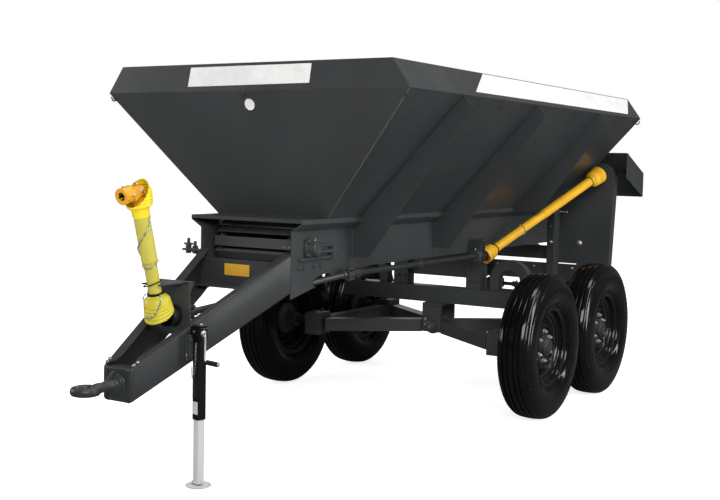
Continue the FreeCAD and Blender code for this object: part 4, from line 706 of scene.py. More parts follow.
def flange_bearing(piece, y, side, plate):
    """Cast square flange bearing with its bolts and grease nipple, round a shaft at a station."""
    outward = X * side
    where = aim(vec(TROUGH_X * side, y, LOOP_Z), outward)
    piece.add(slab(rounded(92, 92, 40, 8), plate, 2.2), where)
    piece.add(lathe([(plate - 1, 20.2), (plate - 1, 38), (plate + 4, 36), (44, 34.5), (51, 33),
                     (54, 30.5), (54, 28), (49, 27), (48, 20.2)], 40, closed=True), where)
    piece.add(lathe([(40, 0), (50, 0), (51, 18), (52, 19), (52, 23), (50, 24.8), (40, 24.8)], 32),
              where)
    boss = [(plate - 1, 0), (plate - 1, 11), (plate + 2, 9.8), (plate + 2, 0)]
    for a in (-1, 1):
        for b in (-1, 1):
            foot = where @ vec(a * 32, b * 32, 0)
            piece.add(lathe(boss, 20), Matrix.Translation(foot - where.translation) @ where)
            piece.bolt(foot + outward * (plate + 1.6), outward, 18, 6, LIGHT_GREY, a + b)
    piece.spun([(0, 0), (0, 4.5), (4, 4.5), (4, 2.6), (8, 2.6), (10, 3.4), (12, 2), (12, 0)], 12,
               vec((TROUGH_X + 30) * side, y, LOOP_Z + 34), Z + outward * 0.4, ZINC)


def bearings():
    """Take-up bearings on their slides in front, plain ones behind."""
    piece = Piece("conveyor_bearing_set", LIGHT_GREY, "gear_case", "conveyor_bearings")
    low = span("conveyor_bearings")[0]
    screw_z, thread_pitch = LOOP_Z - 22.5, 2.5
    screw_start, screw_end, rail_end, stop_y = LOOP_FRONT + 40, 359.0, 345, 324
    turns = ceil((screw_end - screw_start - 2) / thread_pitch)
    thread = [(0, 0)]
    for k in range(turns):
        thread += [(k * thread_pitch, 7.0), (k * thread_pitch + 1.2, 5.9)]
    thread.append((screw_end - screw_start, 0))
    for side in (-1, 1):
        flange_bearing(piece, LOOP_FRONT, side, 12)
        flange_bearing(piece, LOOP_REAR, side, 3)
        face, outward = TROUGH_X * side, X * side
        for y, z, length, width, thickness in (((low.y + rail_end) / 2, low.z + 7, 290, 14, 14),
                                               (262, LOOP_Z + 6, 118, 12, 9)):
            rail = aim(vec(face, y, z), outward)
            along = rail.to_3x3().inverted() @ Y
            piece.add(slab(rounded(length, width, 3, 3), thickness, 1.5),
                      rail @ turned(atan2(along.y, along.x), "Z"))
        for y in (62, 98, 185, 240):
            piece.bolt((face, y, 900), outward, 17, 0, GEAR_GREY, y)
        screw_x = face + side * 14
        piece.add(block(28, 14, LOOP_Z - low.z, 2), vec(screw_x, stop_y, low.z))
        piece.spun(thread, 14, vec(screw_x, screw_start, screw_z), Y)
        for y in (stop_y - 20, stop_y + 8):
            piece.add(hexagon(22, 11), aim(vec(screw_x, y, screw_z), Y, 0.2), LIGHT_GREY)
        piece.add(block(22, 26, 26, 2), vec(screw_x, screw_start + 6, screw_z - 13))
    piece.done()


conveyor()
chain_shafts()
bearings()


# ---------------------------------------------------------------- hopper
SIDE_LOW, SIDE_HIGH = span("hopper_side_left")
REAR_Y = SIDE_HIGH.y
MOUTH_Z, BAND_TOP_Z, RIM_X = SIDE_LOW.z, SIDE_HIGH.z, SIDE_HIGH.x
BAND_HEIGHT, BAND_LEAN, FRONT_SLOPE = 130.0, 92.0, 210.0
FOLD_Z = BAND_TOP_Z - BAND_HEIGHT
MOUTH_X = 330.0
RIB_SHEET = 6.0
LONG_RIBS, SHORT_RIB = (524.2, 1404.0), 2358.7
SLOPE_OUT = vec(FOLD_Z - MOUTH_Z, 0, MOUTH_X - RIM_X).normalized()
SLOPE_UP = vec(RIM_X - MOUTH_X, 0, FOLD_Z - MOUTH_Z).normalized()
BAND_OUT = vec(BAND_HEIGHT, 0, BAND_LEAN).normalized()
FRONT_OUT = vec(0, MOUTH_Z - FOLD_Z, -FRONT_SLOPE).normalized()
FRONT_UP = vec(0, -FRONT_SLOPE, FOLD_Z - MOUTH_Z).normalized()


def wall_point(y, z):
    """Point on the outer face of the left side wall."""
    part = (z - MOUTH_Z) / (FOLD_Z - MOUTH_Z)
    return vec(MOUTH_X + part * (RIM_X - MOUTH_X), y, z)


def band_point(y, z):
    """Point on the leaning rim band of the left side."""
    return vec(RIM_X - BAND_LEAN * (z - FOLD_Z) / BAND_HEIGHT, y, z)


def front_point(x, z):
    """Point on the sloping front sheet."""
    return vec(x, FRONT_SLOPE * (FOLD_Z - z) / (FOLD_Z - MOUTH_Z), z)


def plate_on(piece, corners, outward, thickness):
    """Thin plate with its back on the plane of its corners."""
    where = aim(corners[0], outward)
    back = where.inverted()
    outline = [tuple((back @ Vector(corner)).to_2d()) for corner in corners]
    piece.add(slab(outline, thickness, 0.5), where)


def hopper_seams():
    """Weld beads along the ribs, the hopper's corners and its mouth."""
    piece = Piece("hopper_welds", WELD, "body_paint")
    for rib in (*LONG_RIBS, SHORT_RIB):
        for y in (rib - 1.5, rib + RIB_SHEET + 1.5):
            piece.weld([wall_point(y, MOUTH_Z + 6), wall_point(y, FOLD_Z - 20)], 2.8)
            if rib in LONG_RIBS:
                piece.weld([(TROUGH_X + 1, y, 930), (TROUGH_X + 1, y, 1070), (MOUTH_X, y, 1106)],
                           2.8)
    for mouth_y, y in ((FRONT_SLOPE, 1), (REAR_Y - 1, REAR_Y - 1)):
        piece.weld([(MOUTH_X, mouth_y, MOUTH_Z), (RIM_X, y, FOLD_Z),
                    (RIM_X - BAND_LEAN, y, BAND_TOP_Z - 2)], 2.3)
    for y in range(260, 3080, 240):
        piece.weld([(MOUTH_X, y, MOUTH_Z), (MOUTH_X, y + 90, MOUTH_Z)], 2.6)
    piece.mirrored()
    y = FRONT_SLOPE - 4
    for x in range(-300, 290, 150):
        piece.weld([(x, y, MOUTH_Z + 2), (x + 70, y, MOUTH_Z + 2)], 2.6)
    piece.done()


def rope_hooks():
    """Bent rod hooks for a cover's rope, under the rim's fold."""
    piece = Piece("rope_hooks", GREY, "body_paint")

    def hook(foot, outward, up):
        piece.add(block(26, 22, 3.5, 1), aim(foot - outward * 0.5, outward))
        path = [foot, foot + outward * 8]
        path += arc(foot + outward * 8 + up * 12, 12, -90, 20, outward, up, 7)[1:]
        path.append(path[-1] + up * 14 - outward * 5)
        piece.add(sweep(path, 3.6, 10))

    for y in (16, 970, 1990, REAR_Y - 18):
        hook(wall_point(y, 1693), SLOPE_OUT, SLOPE_UP)
    piece.mirrored()
    hook(front_point(-12, 1704), FRONT_OUT, FRONT_UP)
    piece.done()


def signs():
    """Blank sign plates, the blank round plate and the blank label with its rivets."""
    piece = Piece("blank_signs", WHITE, "body_paint")
    side = ((665, 1745), (2905, 1743), (3108, 1848), (883, 1848))
    plate_on(piece, [band_point(y, z) for y, z in side], BAND_OUT, 1.4)
    piece.mirrored()
    plate_on(piece, [(-361, 0, 1746), (353, 0, 1752), (365, 0, 1840), (-341, 0, 1838)], -Y, 1.4)
    piece.spun([(0, 0), (0, 28), (2.0, 28), (2.4, 26.6), (1.6, 24.8), (1.3, 24.2), (1.3, 0)], 40,
               front_point(0, 1659), FRONT_OUT)
    piece.done()
    label = Piece("blank_label", AMBER, "guard_gold")
    right, left, bottom, top, y = -115, 34, 847, 903, -8
    plate_on(label, [(right, y, bottom), (left, y, bottom), (left, y, top), (right, y, top)], -Y,
             1.2)
    for x in (right + 6, left - 6):
        for z in (bottom + 6, top - 6):
            label.spun([(0, 0), (0, 3), (1.2, 2.4), (1.8, 0)], 12, vec(x, y - 1.2, z), -Y, ZINC)
    label.done()


hopper_seams()
rope_hooks()
signs()


# ---------------------------------------------------------------- drawbar
HEAD_LOW, HEAD_HIGH = span("drawbar_head")
BEAM_HIGH = span("drawbar_beam_left")[1]
BEAM_REAR_LOW = BEAM_HIGH.z - 186
CORNER = vec(HEAD_HIGH.x, HEAD_LOW.y, 0)
RUN = vec(BEAM_HIGH.x, 0, 0) - CORNER
ALONG = RUN.normalized()
INWARD = vec(-ALONG.y, ALONG.x, 0)


def beam_heights(distance):
    """Bottom and top of the drawbar's side at a distance behind its front corner."""
    part = distance / RUN.length
    return (HEAD_LOW.z + (BEAM_REAR_LOW - HEAD_LOW.z) * part,
            HEAD_HIGH.z + (BEAM_HIGH.z - HEAD_HIGH.z) * part)


def channel_section(point, inside, heights, depth):
    """One cross section of the folded channel, round its outside and back inside."""
    sheet, bend, (low, high) = 8.0, 12.0, heights

    def turn(z, radius, start, end):
        return [(bend + u, z + v) for u, v in
                (polar(radius, radians(start + (end - start) * k / 4)) for k in range(5))]

    loop = [(depth, low), *turn(low + bend, bend, 270, 180), *turn(high - bend, bend, 180, 90),
            (depth, high), (depth, high - sheet), *turn(high - bend, bend - sheet, 90, 180),
            *turn(low + bend, bend - sheet, 180, 270), (depth, low + sheet)]
    return [point + inside * offset + Z * z for offset, z in loop]


def drawbar():
    """Folded side channels that wrap round the head's corners, and the head between them."""
    piece = Piece("drawbar_channels", DRAWBAR_GREY, "chassis_paint",
                  "drawbar_beam_left", "drawbar_beam_right", "drawbar_head")
    radius, lip, flange = 22.0, 12.5, 50.0
    end_angle = atan2(-INWARD.y, -INWARD.x)
    reach = radius * tan((end_angle + pi / 2) / 2)
    centre = CORNER + vec(-reach, radius, 0)
    rows = [channel_section(vec(x, CORNER.y, 0), Y, beam_heights(0), lip)
            for x in (50, 56, CORNER.x - reach)]
    for k in range(1, 9):
        out = vec(*polar(1, -pi / 2 + (end_angle + pi / 2) * k / 8), 0)
        rows.append(channel_section(centre + out * radius, -out, beam_heights(reach * k / 8), lip))
    widening = 80
    depths = [(26, lip), (36, 22), (48, 36), (62, 46), (widening, flange)]
    depths += [(widening + (RUN.length - widening) * k / 12, flange) for k in range(1, 13)]
    for distance, depth in depths:
        rows.append(channel_section(CORNER + ALONG * distance, INWARD, beam_heights(distance),
                                    depth))
    rows[-1] = [point - ALONG * (point.y / ALONG.y) for point in rows[-1]]
    piece.add(capped(rows))
    rise = vec(-ALONG.x, -ALONG.y, 0) * (BEAM_HIGH.z - HEAD_HIGH.z) / RUN.length + Z
    for distance in (22, 42):
        foot = CORNER + ALONG * distance + INWARD * 11 + Z * beam_heights(distance)[1]
        piece.bolt(foot, rise, 15, twist=distance, washer=False)
    rear_x = BEAM_HIGH.x + 1
    piece.weld([(rear_x, 0, BEAM_REAR_LOW + 4), (rear_x, 0, BEAM_HIGH.z - 4)], 3.4)
    bead_low, bead_high = beam_heights(90)[0] + 12, HEAD_HIGH.z - 4
    for distance in (84.64, 90.16):
        foot = CORNER + INWARD * 9 + ALONG * distance
        piece.weld([foot + Z * bead_low, foot + Z * bead_high], 2.5)
    piece.mirrored()
    low, high, front, back = HEAD_LOW.z + 2.0, HEAD_HIGH.z - 2.0, -842, -764
    cheek = [(front, low), (back, low + 36), (back, high), (front, high)]
    piece.add(slab(cheek, 122, 2), lengthwise(-61))
    piece.add(block(96, 9, high - low - 2, 2.5), vec(0, front - 2.6, low + 1))
    piece.done(28)


def hitch_eye():
    """Forged eye with its shank, flange and upright fin."""
    low, high = span("hitch_eye")
    ring_z = (low.z + high.z) / 2
    hitch = Piece("forged_hitch_eye", DRAWBAR_GREY, "bare_steel", "hitch_eye")
    ring = [(-18, 36), (-18, 47), (-15.5, 55), (-10, 60), (0, 62), (10, 60), (15.5, 55), (18, 47),
            (18, 36), (14, 29), (8, 26.2), (0, 25.5), (-8, 26.2), (-14, 29)]
    hitch.add(lathe(ring, 72, closed=True), vec(0, low.y + 62, ring_z))
    shank = [(0, 0), (0, 14), (4, 17), (14, 21), (30, 22.5), (58, 20.5), (84, 20.5), (100, 22),
             (110, 25), (116, 30), (119, 38), (119, 0)]
    hitch.spun(shank, 40, vec(0, -983, ring_z), Y)
    hitch.spun([(0, 0), (0, 41), (3, 44.5), (11, 45), (14, 43), (14, 0)], 56,
               vec(0, -864, ring_z), Y)
    fin = [(-930, ring_z + 14), (-861, ring_z + 14), (-861, ring_z + 58), (-874, ring_z + 58)]
    hitch.add(slab(fin, 12, 2), lengthwise(-6))
    bead = [(x, -850.5, ring_z + z) for x, z in (polar(46, angle) for angle in angles(24))]
    hitch.weld(bead, 3.0, closed=True)
    for x in (-7, 7):
        hitch.weld([(x, -924, ring_z + 19), (x, -866, ring_z + 21)], 2.4)
    hitch.done()


drawbar()
hitch_eye()


# ---------------------------------------------------------------- front drive shaft
FRONT_BODY = "front_drive_shaft"
INPUT_X, INPUT_Z = 45, 725
PTO_JOINT = vec(INPUT_X, -640, INPUT_Z)
PTO_LENGTH = 557.0
PTO_LEAN = radians(15)
PTO_UP = vec(0, -sin(PTO_LEAN), cos(PTO_LEAN))
PTO_BACK = vec(0, cos(PTO_LEAN), sin(PTO_LEAN))
PTO = frame_of(X, PTO_BACK, PTO_UP, PTO_JOINT)
GUARD_TUBE, GUARD_OUTER, CHAIN_LIFT = 28.0, 34.0, 4.2
BELL_TOP, SLEEVE_START, NECK = 105.0, 250.0, PTO_LENGTH - 108
COLLAR_TOP, RIM_SLANT = BELL_TOP + 8, 0.288


def link_chain(piece, path, length=15.0, width=8.0, wire=1.5):
    """Chain of round links along a path, each turned against the last."""
    path = [Vector(p) for p in path]
    pitch = length - 2 * wire - 1
    walk = [a.lerp(b, k / 40) for a, b in zip(path, path[1:]) for k in range(40)] + [path[-1]]
    straight, bend = length / 2 - width / 2, width / 2 - wire
    loop = [vec(bend, 0, -straight), vec(bend, 0, straight),
            *arc((0, 0, straight), bend, 30, 150, X, Z, 4),
            vec(-bend, 0, straight), vec(-bend, 0, -straight),
            *arc((0, 0, -straight), bend, 210, 330, X, Z, 4)]
    link = sweep(loop, wire, 6, closed=True)
    place, gone, count = walk[0], 0.0, 0
    for a, b in zip(walk, walk[1:]):
        gone += (b - a).length
        if gone >= pitch:
            twist = pi / 4 + pi / 2 * (count % 2)
            piece.add(link, aim((b + place) / 2, (b - place).normalized(), twist), ZINC)
            place, gone, count = b, 0.0, count + 1


def cross_joint(piece, centre, first, second, material, reach, trunnion):
    """Cross of a universal joint with its four caps."""
    cap = [(0, 0), (0, trunnion + 2), (6, trunnion + 2), (7, trunnion + 0.5), (7, 0)]
    for axis in (first, second):
        axis = Vector(axis).normalized()
        piece.add(rod(2 * reach, trunnion, 1.5, 20), aim(centre - axis * reach, axis), material)
        for end in (-1, 1):
            piece.spun(cap, 20, centre + axis * end * (reach - 3), axis * end, ZINC)
    piece.spun([(-15, 0), (-15, 12), (-11, 15.5), (11, 15.5), (15, 12), (15, 0)], 20,
               centre, Vector(first).cross(second), material)


def fork(piece, centre, axis, across, depth, hub_radius, hub_length, ear, material, bore=0.0):
    """Yoke: two ears either side of the joint centre, joined to a hub along an axis."""
    axis, across = Vector(axis).normalized(), Vector(across).normalized()
    other = axis.cross(across)
    turns = [pi * k / 12 for k in range(13)]
    outline = [(ear * cos(angle), -ear * sin(angle)) for angle in turns]
    outline += [(-hub_radius * 0.86, depth), (hub_radius * 0.86, depth)]
    for side in (-1, 1):
        cheek = frame_of(other, axis, across * side, centre + across * side * 19)
        piece.add(slab(outline, 12, 2.5), cheek, material)
        piece.add(lathe([(0, ear - 5), (0, ear - 1), (3, ear - 1), (4, ear - 3), (4, ear - 5)], 24,
                        closed=True), cheek @ shift(0, 0, 11), material)
    end = depth + hub_length
    hub = [(depth - 12, hub_radius - 6), (depth - 4, hub_radius), (end - 2, hub_radius),
           (end, hub_radius - 2)]
    if not bore:
        piece.spun([(depth - 12, 0), *hub, (end, 0)], 40, centre, axis, material)
        return
    piece.spun([(depth - 12, bore), *hub, (end, bore + 1.5), (end - 1.5, bore)], 40, centre, axis,
               material, closed=True)
    # The bore's splines and the disc at its bottom are black moulding: painted shade inside the bore.
    teeth = [polar(bore - (2.4 if k % 8 < 4 else 0), angle) for k, angle in enumerate(angles(48))]
    rows = [[(x * size, y * size, z) for x, y in teeth] for size, z in
            ((1, depth - 8), (1, end - 3), (1.12, end - 3), (1.12, depth - 8))]
    piece.add(grid(rows, close_rows=True), aim(centre, axis), SOFT_BLACK)
    piece.spun([(depth - 11, 0), (depth - 11, bore + 0.6), (depth - 7, bore + 0.6),
                (depth - 7, 0)], 24, centre, axis, SOFT_BLACK)


def lower_bell():
    """Rows of the ribbed lower bell, whose rim is slanted."""
    outer = []
    for k in range(61):
        part = k / 60
        ripple = abs(sin(part * pi * 5.0)) ** 0.6 if part < 0.86 else 0.75
        outer.append((part * 70, 61.5 - 6.5 * part + 4.0 * ripple))
    outer += [(75, 57.2), (81, 55), (87, 51.5), (92, 47), (96, 41), (99, 36.5), (101, 35),
              (BELL_TOP, 34.4), (BELL_TOP, 29)]
    inner = [(96, 29), (92, 40), (86, 48), (76, 52.5), (40, 55.5), (0, 58.5)]
    rows = []
    for height, radius in outer + inner:
        row = []
        for x, y in (polar(radius, angle) for angle in angles(72)):
            rim = 7 + RIM_SLANT * y
            row.append(vec(x, y, rim + height / BELL_TOP * (BELL_TOP - rim)))
        rows.append(row)
    return grid(rows, close_rows=True)


def upper_bell():
    """Ribbed bell round the upper joint, cut off slantwise above the yoke."""
    steps, profile = 72, []
    for k in range(steps + 1):
        part = k / steps
        ridge = 2.6 * abs(sin(part * pi * 9)) ** 0.7 if part < 0.67 else 1.2
        swell = sin(pi * (0.30 + 0.54 * part)) ** 0.72
        profile.append((PTO_LENGTH - 68 + 126 * part, 58.5 * swell + ridge))
    outside = [(NECK - 4, GUARD_OUTER + 0.3), (NECK - 2, GUARD_OUTER + 2.6),
               (NECK + 26, GUARD_OUTER + 3.4), (NECK + 32, GUARD_OUTER + 7), (NECK + 38, 43)]
    outside += profile
    inside = [(z, r - 3.2) for z, r in reversed(profile)] + [(NECK + 36, GUARD_OUTER - 3)]
    shell = bmesh.new()
    verts, faces = lathe(outside + inside, 72, closed=True)
    made = [shell.verts.new(v) for v in verts]
    for corners in faces:
        shell.faces.new([made[i] for i in corners])
    cut = vec(0, -1, 1).normalized()
    bmesh.ops.bisect_plane(shell, geom=shell.verts[:] + shell.edges[:] + shell.faces[:],
                           plane_co=vec(0, 0, PTO_LENGTH) - cut * 4, plane_no=cut,
                           clear_outer=True)
    bmesh.ops.bridge_loops(shell, edges=[edge for edge in shell.edges if edge.is_boundary])
    shell.verts.index_update()
    shape = [v.co.copy() for v in shell.verts], [[v.index for v in f.verts] for f in shell.faces]
    shell.free()
    return shape


def guard_radius(z):
    """Radius at which a chain lies on the front shaft's guard."""
    if z > NECK + 26:
        return GUARD_OUTER + 8
    if z > SLEEVE_START:
        return GUARD_OUTER + CHAIN_LIFT
    if z > COLLAR_TOP:
        return GUARD_TUBE + CHAIN_LIFT
    return min(65.0, 40 + (COLLAR_TOP - z) * 0.9)


def round_guard(points):
    """Path on the front shaft's guard through (degrees, height) points."""
    path = []
    for (angle_a, z_a), (angle_b, z_b) in zip(points, points[1:]):
        for part in (k / 12 for k in range(12)):
            z = z_a + (z_b - z_a) * part
            angle = radians(angle_a + (angle_b - angle_a) * part)
            path.append(PTO @ vec(*polar(guard_radius(z), angle), z))
    return path


def front_guard():
    """Lower bell with its collar, the telescopic guard tubes, a ring, and the upper bell."""
    guard = Piece("front_shaft_guard", YELLOW, "guard_yellow", "front_pto_guard", body=FRONT_BODY)
    guard.add(lower_bell(), PTO, BELL_YELLOW)
    guard.add(lathe([(BELL_TOP - 1, 28.2), (BELL_TOP - 1, 35.4), (BELL_TOP + 4, 36),
                     (COLLAR_TOP, 35.2), (COLLAR_TOP, 28.2)], 48, closed=True),
              PTO, SOFT_BLACK)
    tube = [(66, GUARD_TUBE - 3), (66, GUARD_TUBE), (262, GUARD_TUBE), (262, GUARD_TUBE - 3)]
    guard.add(lathe(tube, 48, closed=True), PTO)
    sheath = [(SLEEVE_START, GUARD_TUBE + 0.4), (SLEEVE_START - 1, GUARD_OUTER - 1),
              (SLEEVE_START, GUARD_OUTER), (NECK, GUARD_OUTER), (NECK, GUARD_TUBE + 0.4)]
    guard.add(lathe(sheath, 48, closed=True), PTO)
    ring = [vec(37 * cos(a) - 6, 37 * sin(a) - 3, 152 + 9 * cos(a))
            for a in angles(40)]
    guard.add(sweep(ring, 2.6, 8, closed=True), PTO, SOFT_BLACK)
    guard.done(40)

    cap = Piece("front_shaft_upper_bell", GOLDEN_YELLOW, "guard_yellow", body=FRONT_BODY)
    cap.add(upper_bell(), PTO)
    cap.done(40)


def front_joints():
    """Both joints of the front shaft, its splined yoke and the bar in the guard."""
    joints = Piece("front_shaft_joints", ORANGE, "bare_steel", "front_pto_joints",
                   body=FRONT_BODY)
    upper = PTO @ vec(0, 0, PTO_LENGTH)
    front = -PTO_BACK
    cross_joint(joints, upper, X, PTO_UP, ORANGE, 30, 9)
    fork(joints, upper, front, X, 44, 35.5, 50, 19, ORANGE, 17.5)
    fork(joints, upper, -PTO_UP, PTO_BACK, 34, 24, 60, 17, ORANGE)
    joints.spun([(0, 0), (0, 7), (3, 7), (4.5, 5), (4.5, 0)], 16,
                upper + front * 74 + PTO_UP * 34.6, PTO_UP, ZINC)
    joints.add(rod(9, 6, 1.2, 14), aim(upper + front * 60 + X * 33.5, X), ZINC)
    cross_joint(joints, PTO_JOINT, X, PTO_BACK, ORANGE, 27, 8)
    fork(joints, PTO_JOINT, PTO_UP, X, 34, 22, 30, 16, ORANGE)
    joints.add(rod(PTO_LENGTH - 150, 15, 1, 24), PTO @ shift(0, 0, 60), STEEL)
    joints.done()


def guard_chains():
    """Safety chains that lie round the front shaft's guard and ride with it."""
    chains = Piece("guard_chains", ZINC, "zinc_steel", body=FRONT_BODY)
    for points in (((20, 454), (-8, 405), (-60, 368), (-150, 300), (-185, 262), (-150, 240),
                    (-95, 228), (-40, 230), (10, 240), (40, 262)),
                   ((-20, 110), (-30, 92), (-45, 60), (-62, 34), (-85, 18), (-120, 20)),
                   ((-160, 108), (-168, 84), (-172, 52), (-158, 22))):
        link_chain(chains, round_guard(points))
    chains.done()


front_guard()
front_joints()
guard_chains()


# ---------------------------------------------------------------- bulkhead and side drive
BULKHEAD_Y = -550.0
INPUT = vec(INPUT_X, 0, INPUT_Z)
SIDE_AXIS = vec(318, 0, 850)
SIDE_FRONT, SIDE_REAR, SIDE_JOINT = 396.0, 1963.0, 1988
SLOPING_START, SLOPING_END = INPUT + Y * -455, SIDE_AXIS + Y * 420


def bulkhead():
    """Tapered bulkhead with its folded top, gussets, bearing bolts and the shaft's rest."""
    low, high = span("drive_bulkhead")
    y, sheet, taper, foot, top = BULKHEAD_Y, 8.0, 18.0, low.z, high.z
    right, left, beam_z = -125.0, 145.0, 664.0
    piece = Piece("input_bulkhead", GREY, "chassis_paint", "drive_bulkhead")
    wall = [(right + 9, foot + 1), (left - 9, foot + 1), (left - 6, beam_z),
            (left - taper, top - 10), (left - taper, top), (right + taper, top),
            (right + taper, top - 10), (right + 6, beam_z)]
    piece.add(slab(wall, sheet, 1.2), crosswise(y + sheet))
    piece.add(block(left - right - 2 * taper, 40, 8, 2),
              vec((left + right) / 2, y + 20, top - 8))
    gusset = slab([(y + 6, top - 6), (y + 38, top - 6), (y + 6, top - 60)], 5, 0.8)
    for x in (right + taper + 4, left - taper - 4):
        piece.add(gusset, lengthwise(x - 2.5))
    half, hole, middle = 54.0, 40.0, INPUT_X
    rest_y = PTO_JOINT.y - tan(PTO_LEAN) * (top - PTO_JOINT.z)
    rest = [(middle + half, y + 2), (middle - half, y + 2), (middle - half, rest_y - 16),
            (middle - hole, rest_y - 20)]
    for x, v in (polar(hole, radians(angle)) for angle in range(0, 181, 20)):
        rest.append((middle - x, rest_y + v))
    rest += [(middle + hole, rest_y - 20), (middle + half, rest_y - 16)]
    piece.add(capped([[(x, v, z) for x, v in rest] for z in (top - 6, top)]))
    for k in range(3):
        x, z = polar(36, radians(30 + 120 * k))
        piece.bolt(INPUT + vec(x, y + sheet + 24, z), Y, 15, 4, GREY, k)
    for edge, inward in ((right + 6, 1), (left - 6, -1)):
        piece.weld([(edge, y - 1, beam_z + 1), (edge + inward * 44, y - 1, beam_z + 3)], 3)
    piece.weld([(middle - half, y, top - 7), (middle + half, y, top - 7)], 2.6)
    piece.done()


def sleeve(piece, start, end, radius, material):
    """Collar with a chamfer and two bolts across it."""
    axis, length = (end - start).normalized(), (end - start).length
    piece.add(rod(length, radius, 3, 32), aim(start, axis), material)
    side = axis.orthogonal().normalized()
    for part in (0.3, 0.7):
        out = Matrix.Rotation(part * 5, 3, axis) @ side
        middle = start.lerp(end, part)
        piece.bolt(middle + out * (radius - 1.5), out, 13, 0, material)
        piece.bolt(middle - out * (radius - 1.5), -out, 13, 4, material)


def input_stub():
    """Shaft through the bulkhead, with its protecting cup in front and its bearing behind."""
    stub = Piece("input_shaft_stub", SHAFT_PAINT, "bare_steel", "input_stub")
    y = BULKHEAD_Y
    cup = [(-2, 30), (-2, 47), (0, 48), (34, 46.5), (50, 45.5), (52, 44), (50, 43), (6, 44),
           (3, 30)]
    stub.spun(cup, 48, INPUT + Y * (y - 1), -Y, SOFT_BLACK, closed=True)
    stub.spun([(0, 15), (0, 42), (3, 44.5), (14, 44), (20, 36), (26, 30), (26, 15)], 40,
              INPUT + Y * (y + 8), Y, closed=True)
    stub.add(rod(136, 15, 1.2, 28), aim(INPUT + Y * -615.5, Y))
    stub.spun([(0, 0), (0, 19), (2, 20.5), (46, 20.5), (48, 19), (48, 0)], 28,
              INPUT + Y * -606, Y)
    stub.done()


def sloping_shaft():
    """Shaft that slopes from the input to the machine's left side, with a joint at each end."""
    sloping = Piece("sloping_drive_shaft", SHAFT_PAINT, "bare_steel", "slanting_shaft")
    run = SLOPING_END - SLOPING_START
    axis = run.normalized()
    cross_joint(sloping, SLOPING_START, X, Z, SHAFT_PAINT, 19, 6)
    fork(sloping, SLOPING_START, -Y, X, 22, 21, 6, 12, SHAFT_PAINT)
    fork(sloping, SLOPING_START, axis, Z, 26, 20, 14, 12, SHAFT_PAINT)
    sloping.add(rod(run.length - 66, 15, 1, 28), aim(SLOPING_START + axis * 34, axis))
    sleeve(sloping, SLOPING_START + axis * 560, SLOPING_START + axis * 640, 21, SHAFT_PAINT)
    cross_joint(sloping, SLOPING_END, X, Z, SHAFT_PAINT, 21, 6)
    fork(sloping, SLOPING_END, -axis, X, 26, 20, 14, 12, SHAFT_PAINT)
    sloping.done()


def side_shaft():
    """Long shaft beside the trough with its two sleeves and a yoke at each end."""
    side = Piece("side_drive_shaft", SHAFT_PAINT, "bare_steel", "side_shaft")
    fork(side, SLOPING_END, Y, Z, 26, 22, 14, 12, SHAFT_PAINT)
    start = SIDE_FRONT + 50
    side.add(rod(SIDE_REAR - start, 15, 1.2, 28), aim(SIDE_AXIS + Y * start, Y))
    for start, end, radius in ((466, 521, 24), (1120, 1172, 22)):
        sleeve(side, SIDE_AXIS + Y * start, SIDE_AXIS + Y * end, radius, SHAFT_PAINT)
    fork(side, SIDE_AXIS + Y * SIDE_JOINT, -Y, Z, 25, 22, 20, 12, SHAFT_PAINT)
    side.done()


def side_bearing():
    """Two hanging plates with a shelf between them, and the flanged bearing on the front one."""
    low, high = span("side_bearing")
    bearing = Piece("side_shaft_bearing", GREY, "gear_case", "side_bearing")
    front_y, rear_y = 1840.0, 1934.0
    middle_y = (front_y + rear_y) / 2 + 4
    plate = [(low.x, low.z + 18), (low.x, high.z - 2), (high.x - 6, high.z - 2),
             (high.x, high.z - 9), (high.x, low.z + 18), (high.x - 14, low.z),
             (high.x - 60, low.z)]
    back = [(x - (26 if x > 300 else 0), z) for x, z in plate]
    for y, outline in ((front_y, plate), (rear_y, back)):
        bearing.add(slab(outline, 8, 1.2), crosswise(y + 8))
    bearing.add(block(60, 96, 7, 1.5), vec(low.x + 31, middle_y, high.z - 12))
    bearing.add(block(8, 96, high.z - low.z - 30, 1.5), vec(low.x + 4.2, middle_y, low.z + 18))
    bearing.spun([(0, 15), (0, 30), (4, 38), (14, 40), (18, 40), (18, 15)], 40,
                 SIDE_AXIS + Y * 1824, Y, closed=True)
    for x, z in ((-27, 27), (27, 27), (-27, -27), (27, -27)):
        bearing.bolt(SIDE_AXIS + vec(x, front_y, z), -Y, 14, 0, GREY, x + z)
    bearing.spun([(0, 0), (0, 4), (4, 4), (4, 2.4), (8, 3.2), (10, 2), (10, 0)], 12,
                 SIDE_AXIS + vec(0, 1832, 39), Z, ZINC)
    bearing.weld([(low.x + 3, 1838, low.z + 20), (low.x + 3, 1838, high.z - 4)], 2.6)
    bearing.done()


bulkhead()
input_stub()
sloping_shaft()
side_shaft()
side_bearing()


# ---------------------------------------------------------------- jack
LEG_LOW, LEG_HIGH = span("jack_leg")
JACK_TUBE_LOW, JACK_TUBE_HIGH = span("jack_tube")
JACK_TOP = JACK_TUBE_HIGH.z - 10
JACK_SPLAY = atan2(ALONG.x, ALONG.y)
JACK_TURN = turned(-JACK_SPLAY, "Z")
JACK = shift((LEG_LOW.x + LEG_HIGH.x) / 2, (LEG_LOW.y + LEG_HIGH.y) / 2, 0) @ JACK_TURN
JACK_FRONT, JACK_OUT = JACK.to_3x3() @ -Y, JACK.to_3x3() @ X
JACK_HALF, LEG_HALF = 21.0, 17.5


def jack_point(x, y, z):
    """Point given along the jack's own sides."""
    return JACK @ vec(x, y, z)


def square_tube(size, bottom, top, corner):
    """Square tube, open at both ends."""
    wall = 3
    outer = rounded(size, size, corner, 4)
    inner = rounded(size - 2 * wall, size - 2 * wall, max(0.6, corner - wall), 4)
    return grid([[(x, y, z) for x, y in shape] for shape, z in
                 ((inner, bottom), (outer, bottom), (outer, top), (inner, top))],
                close_rows=True)


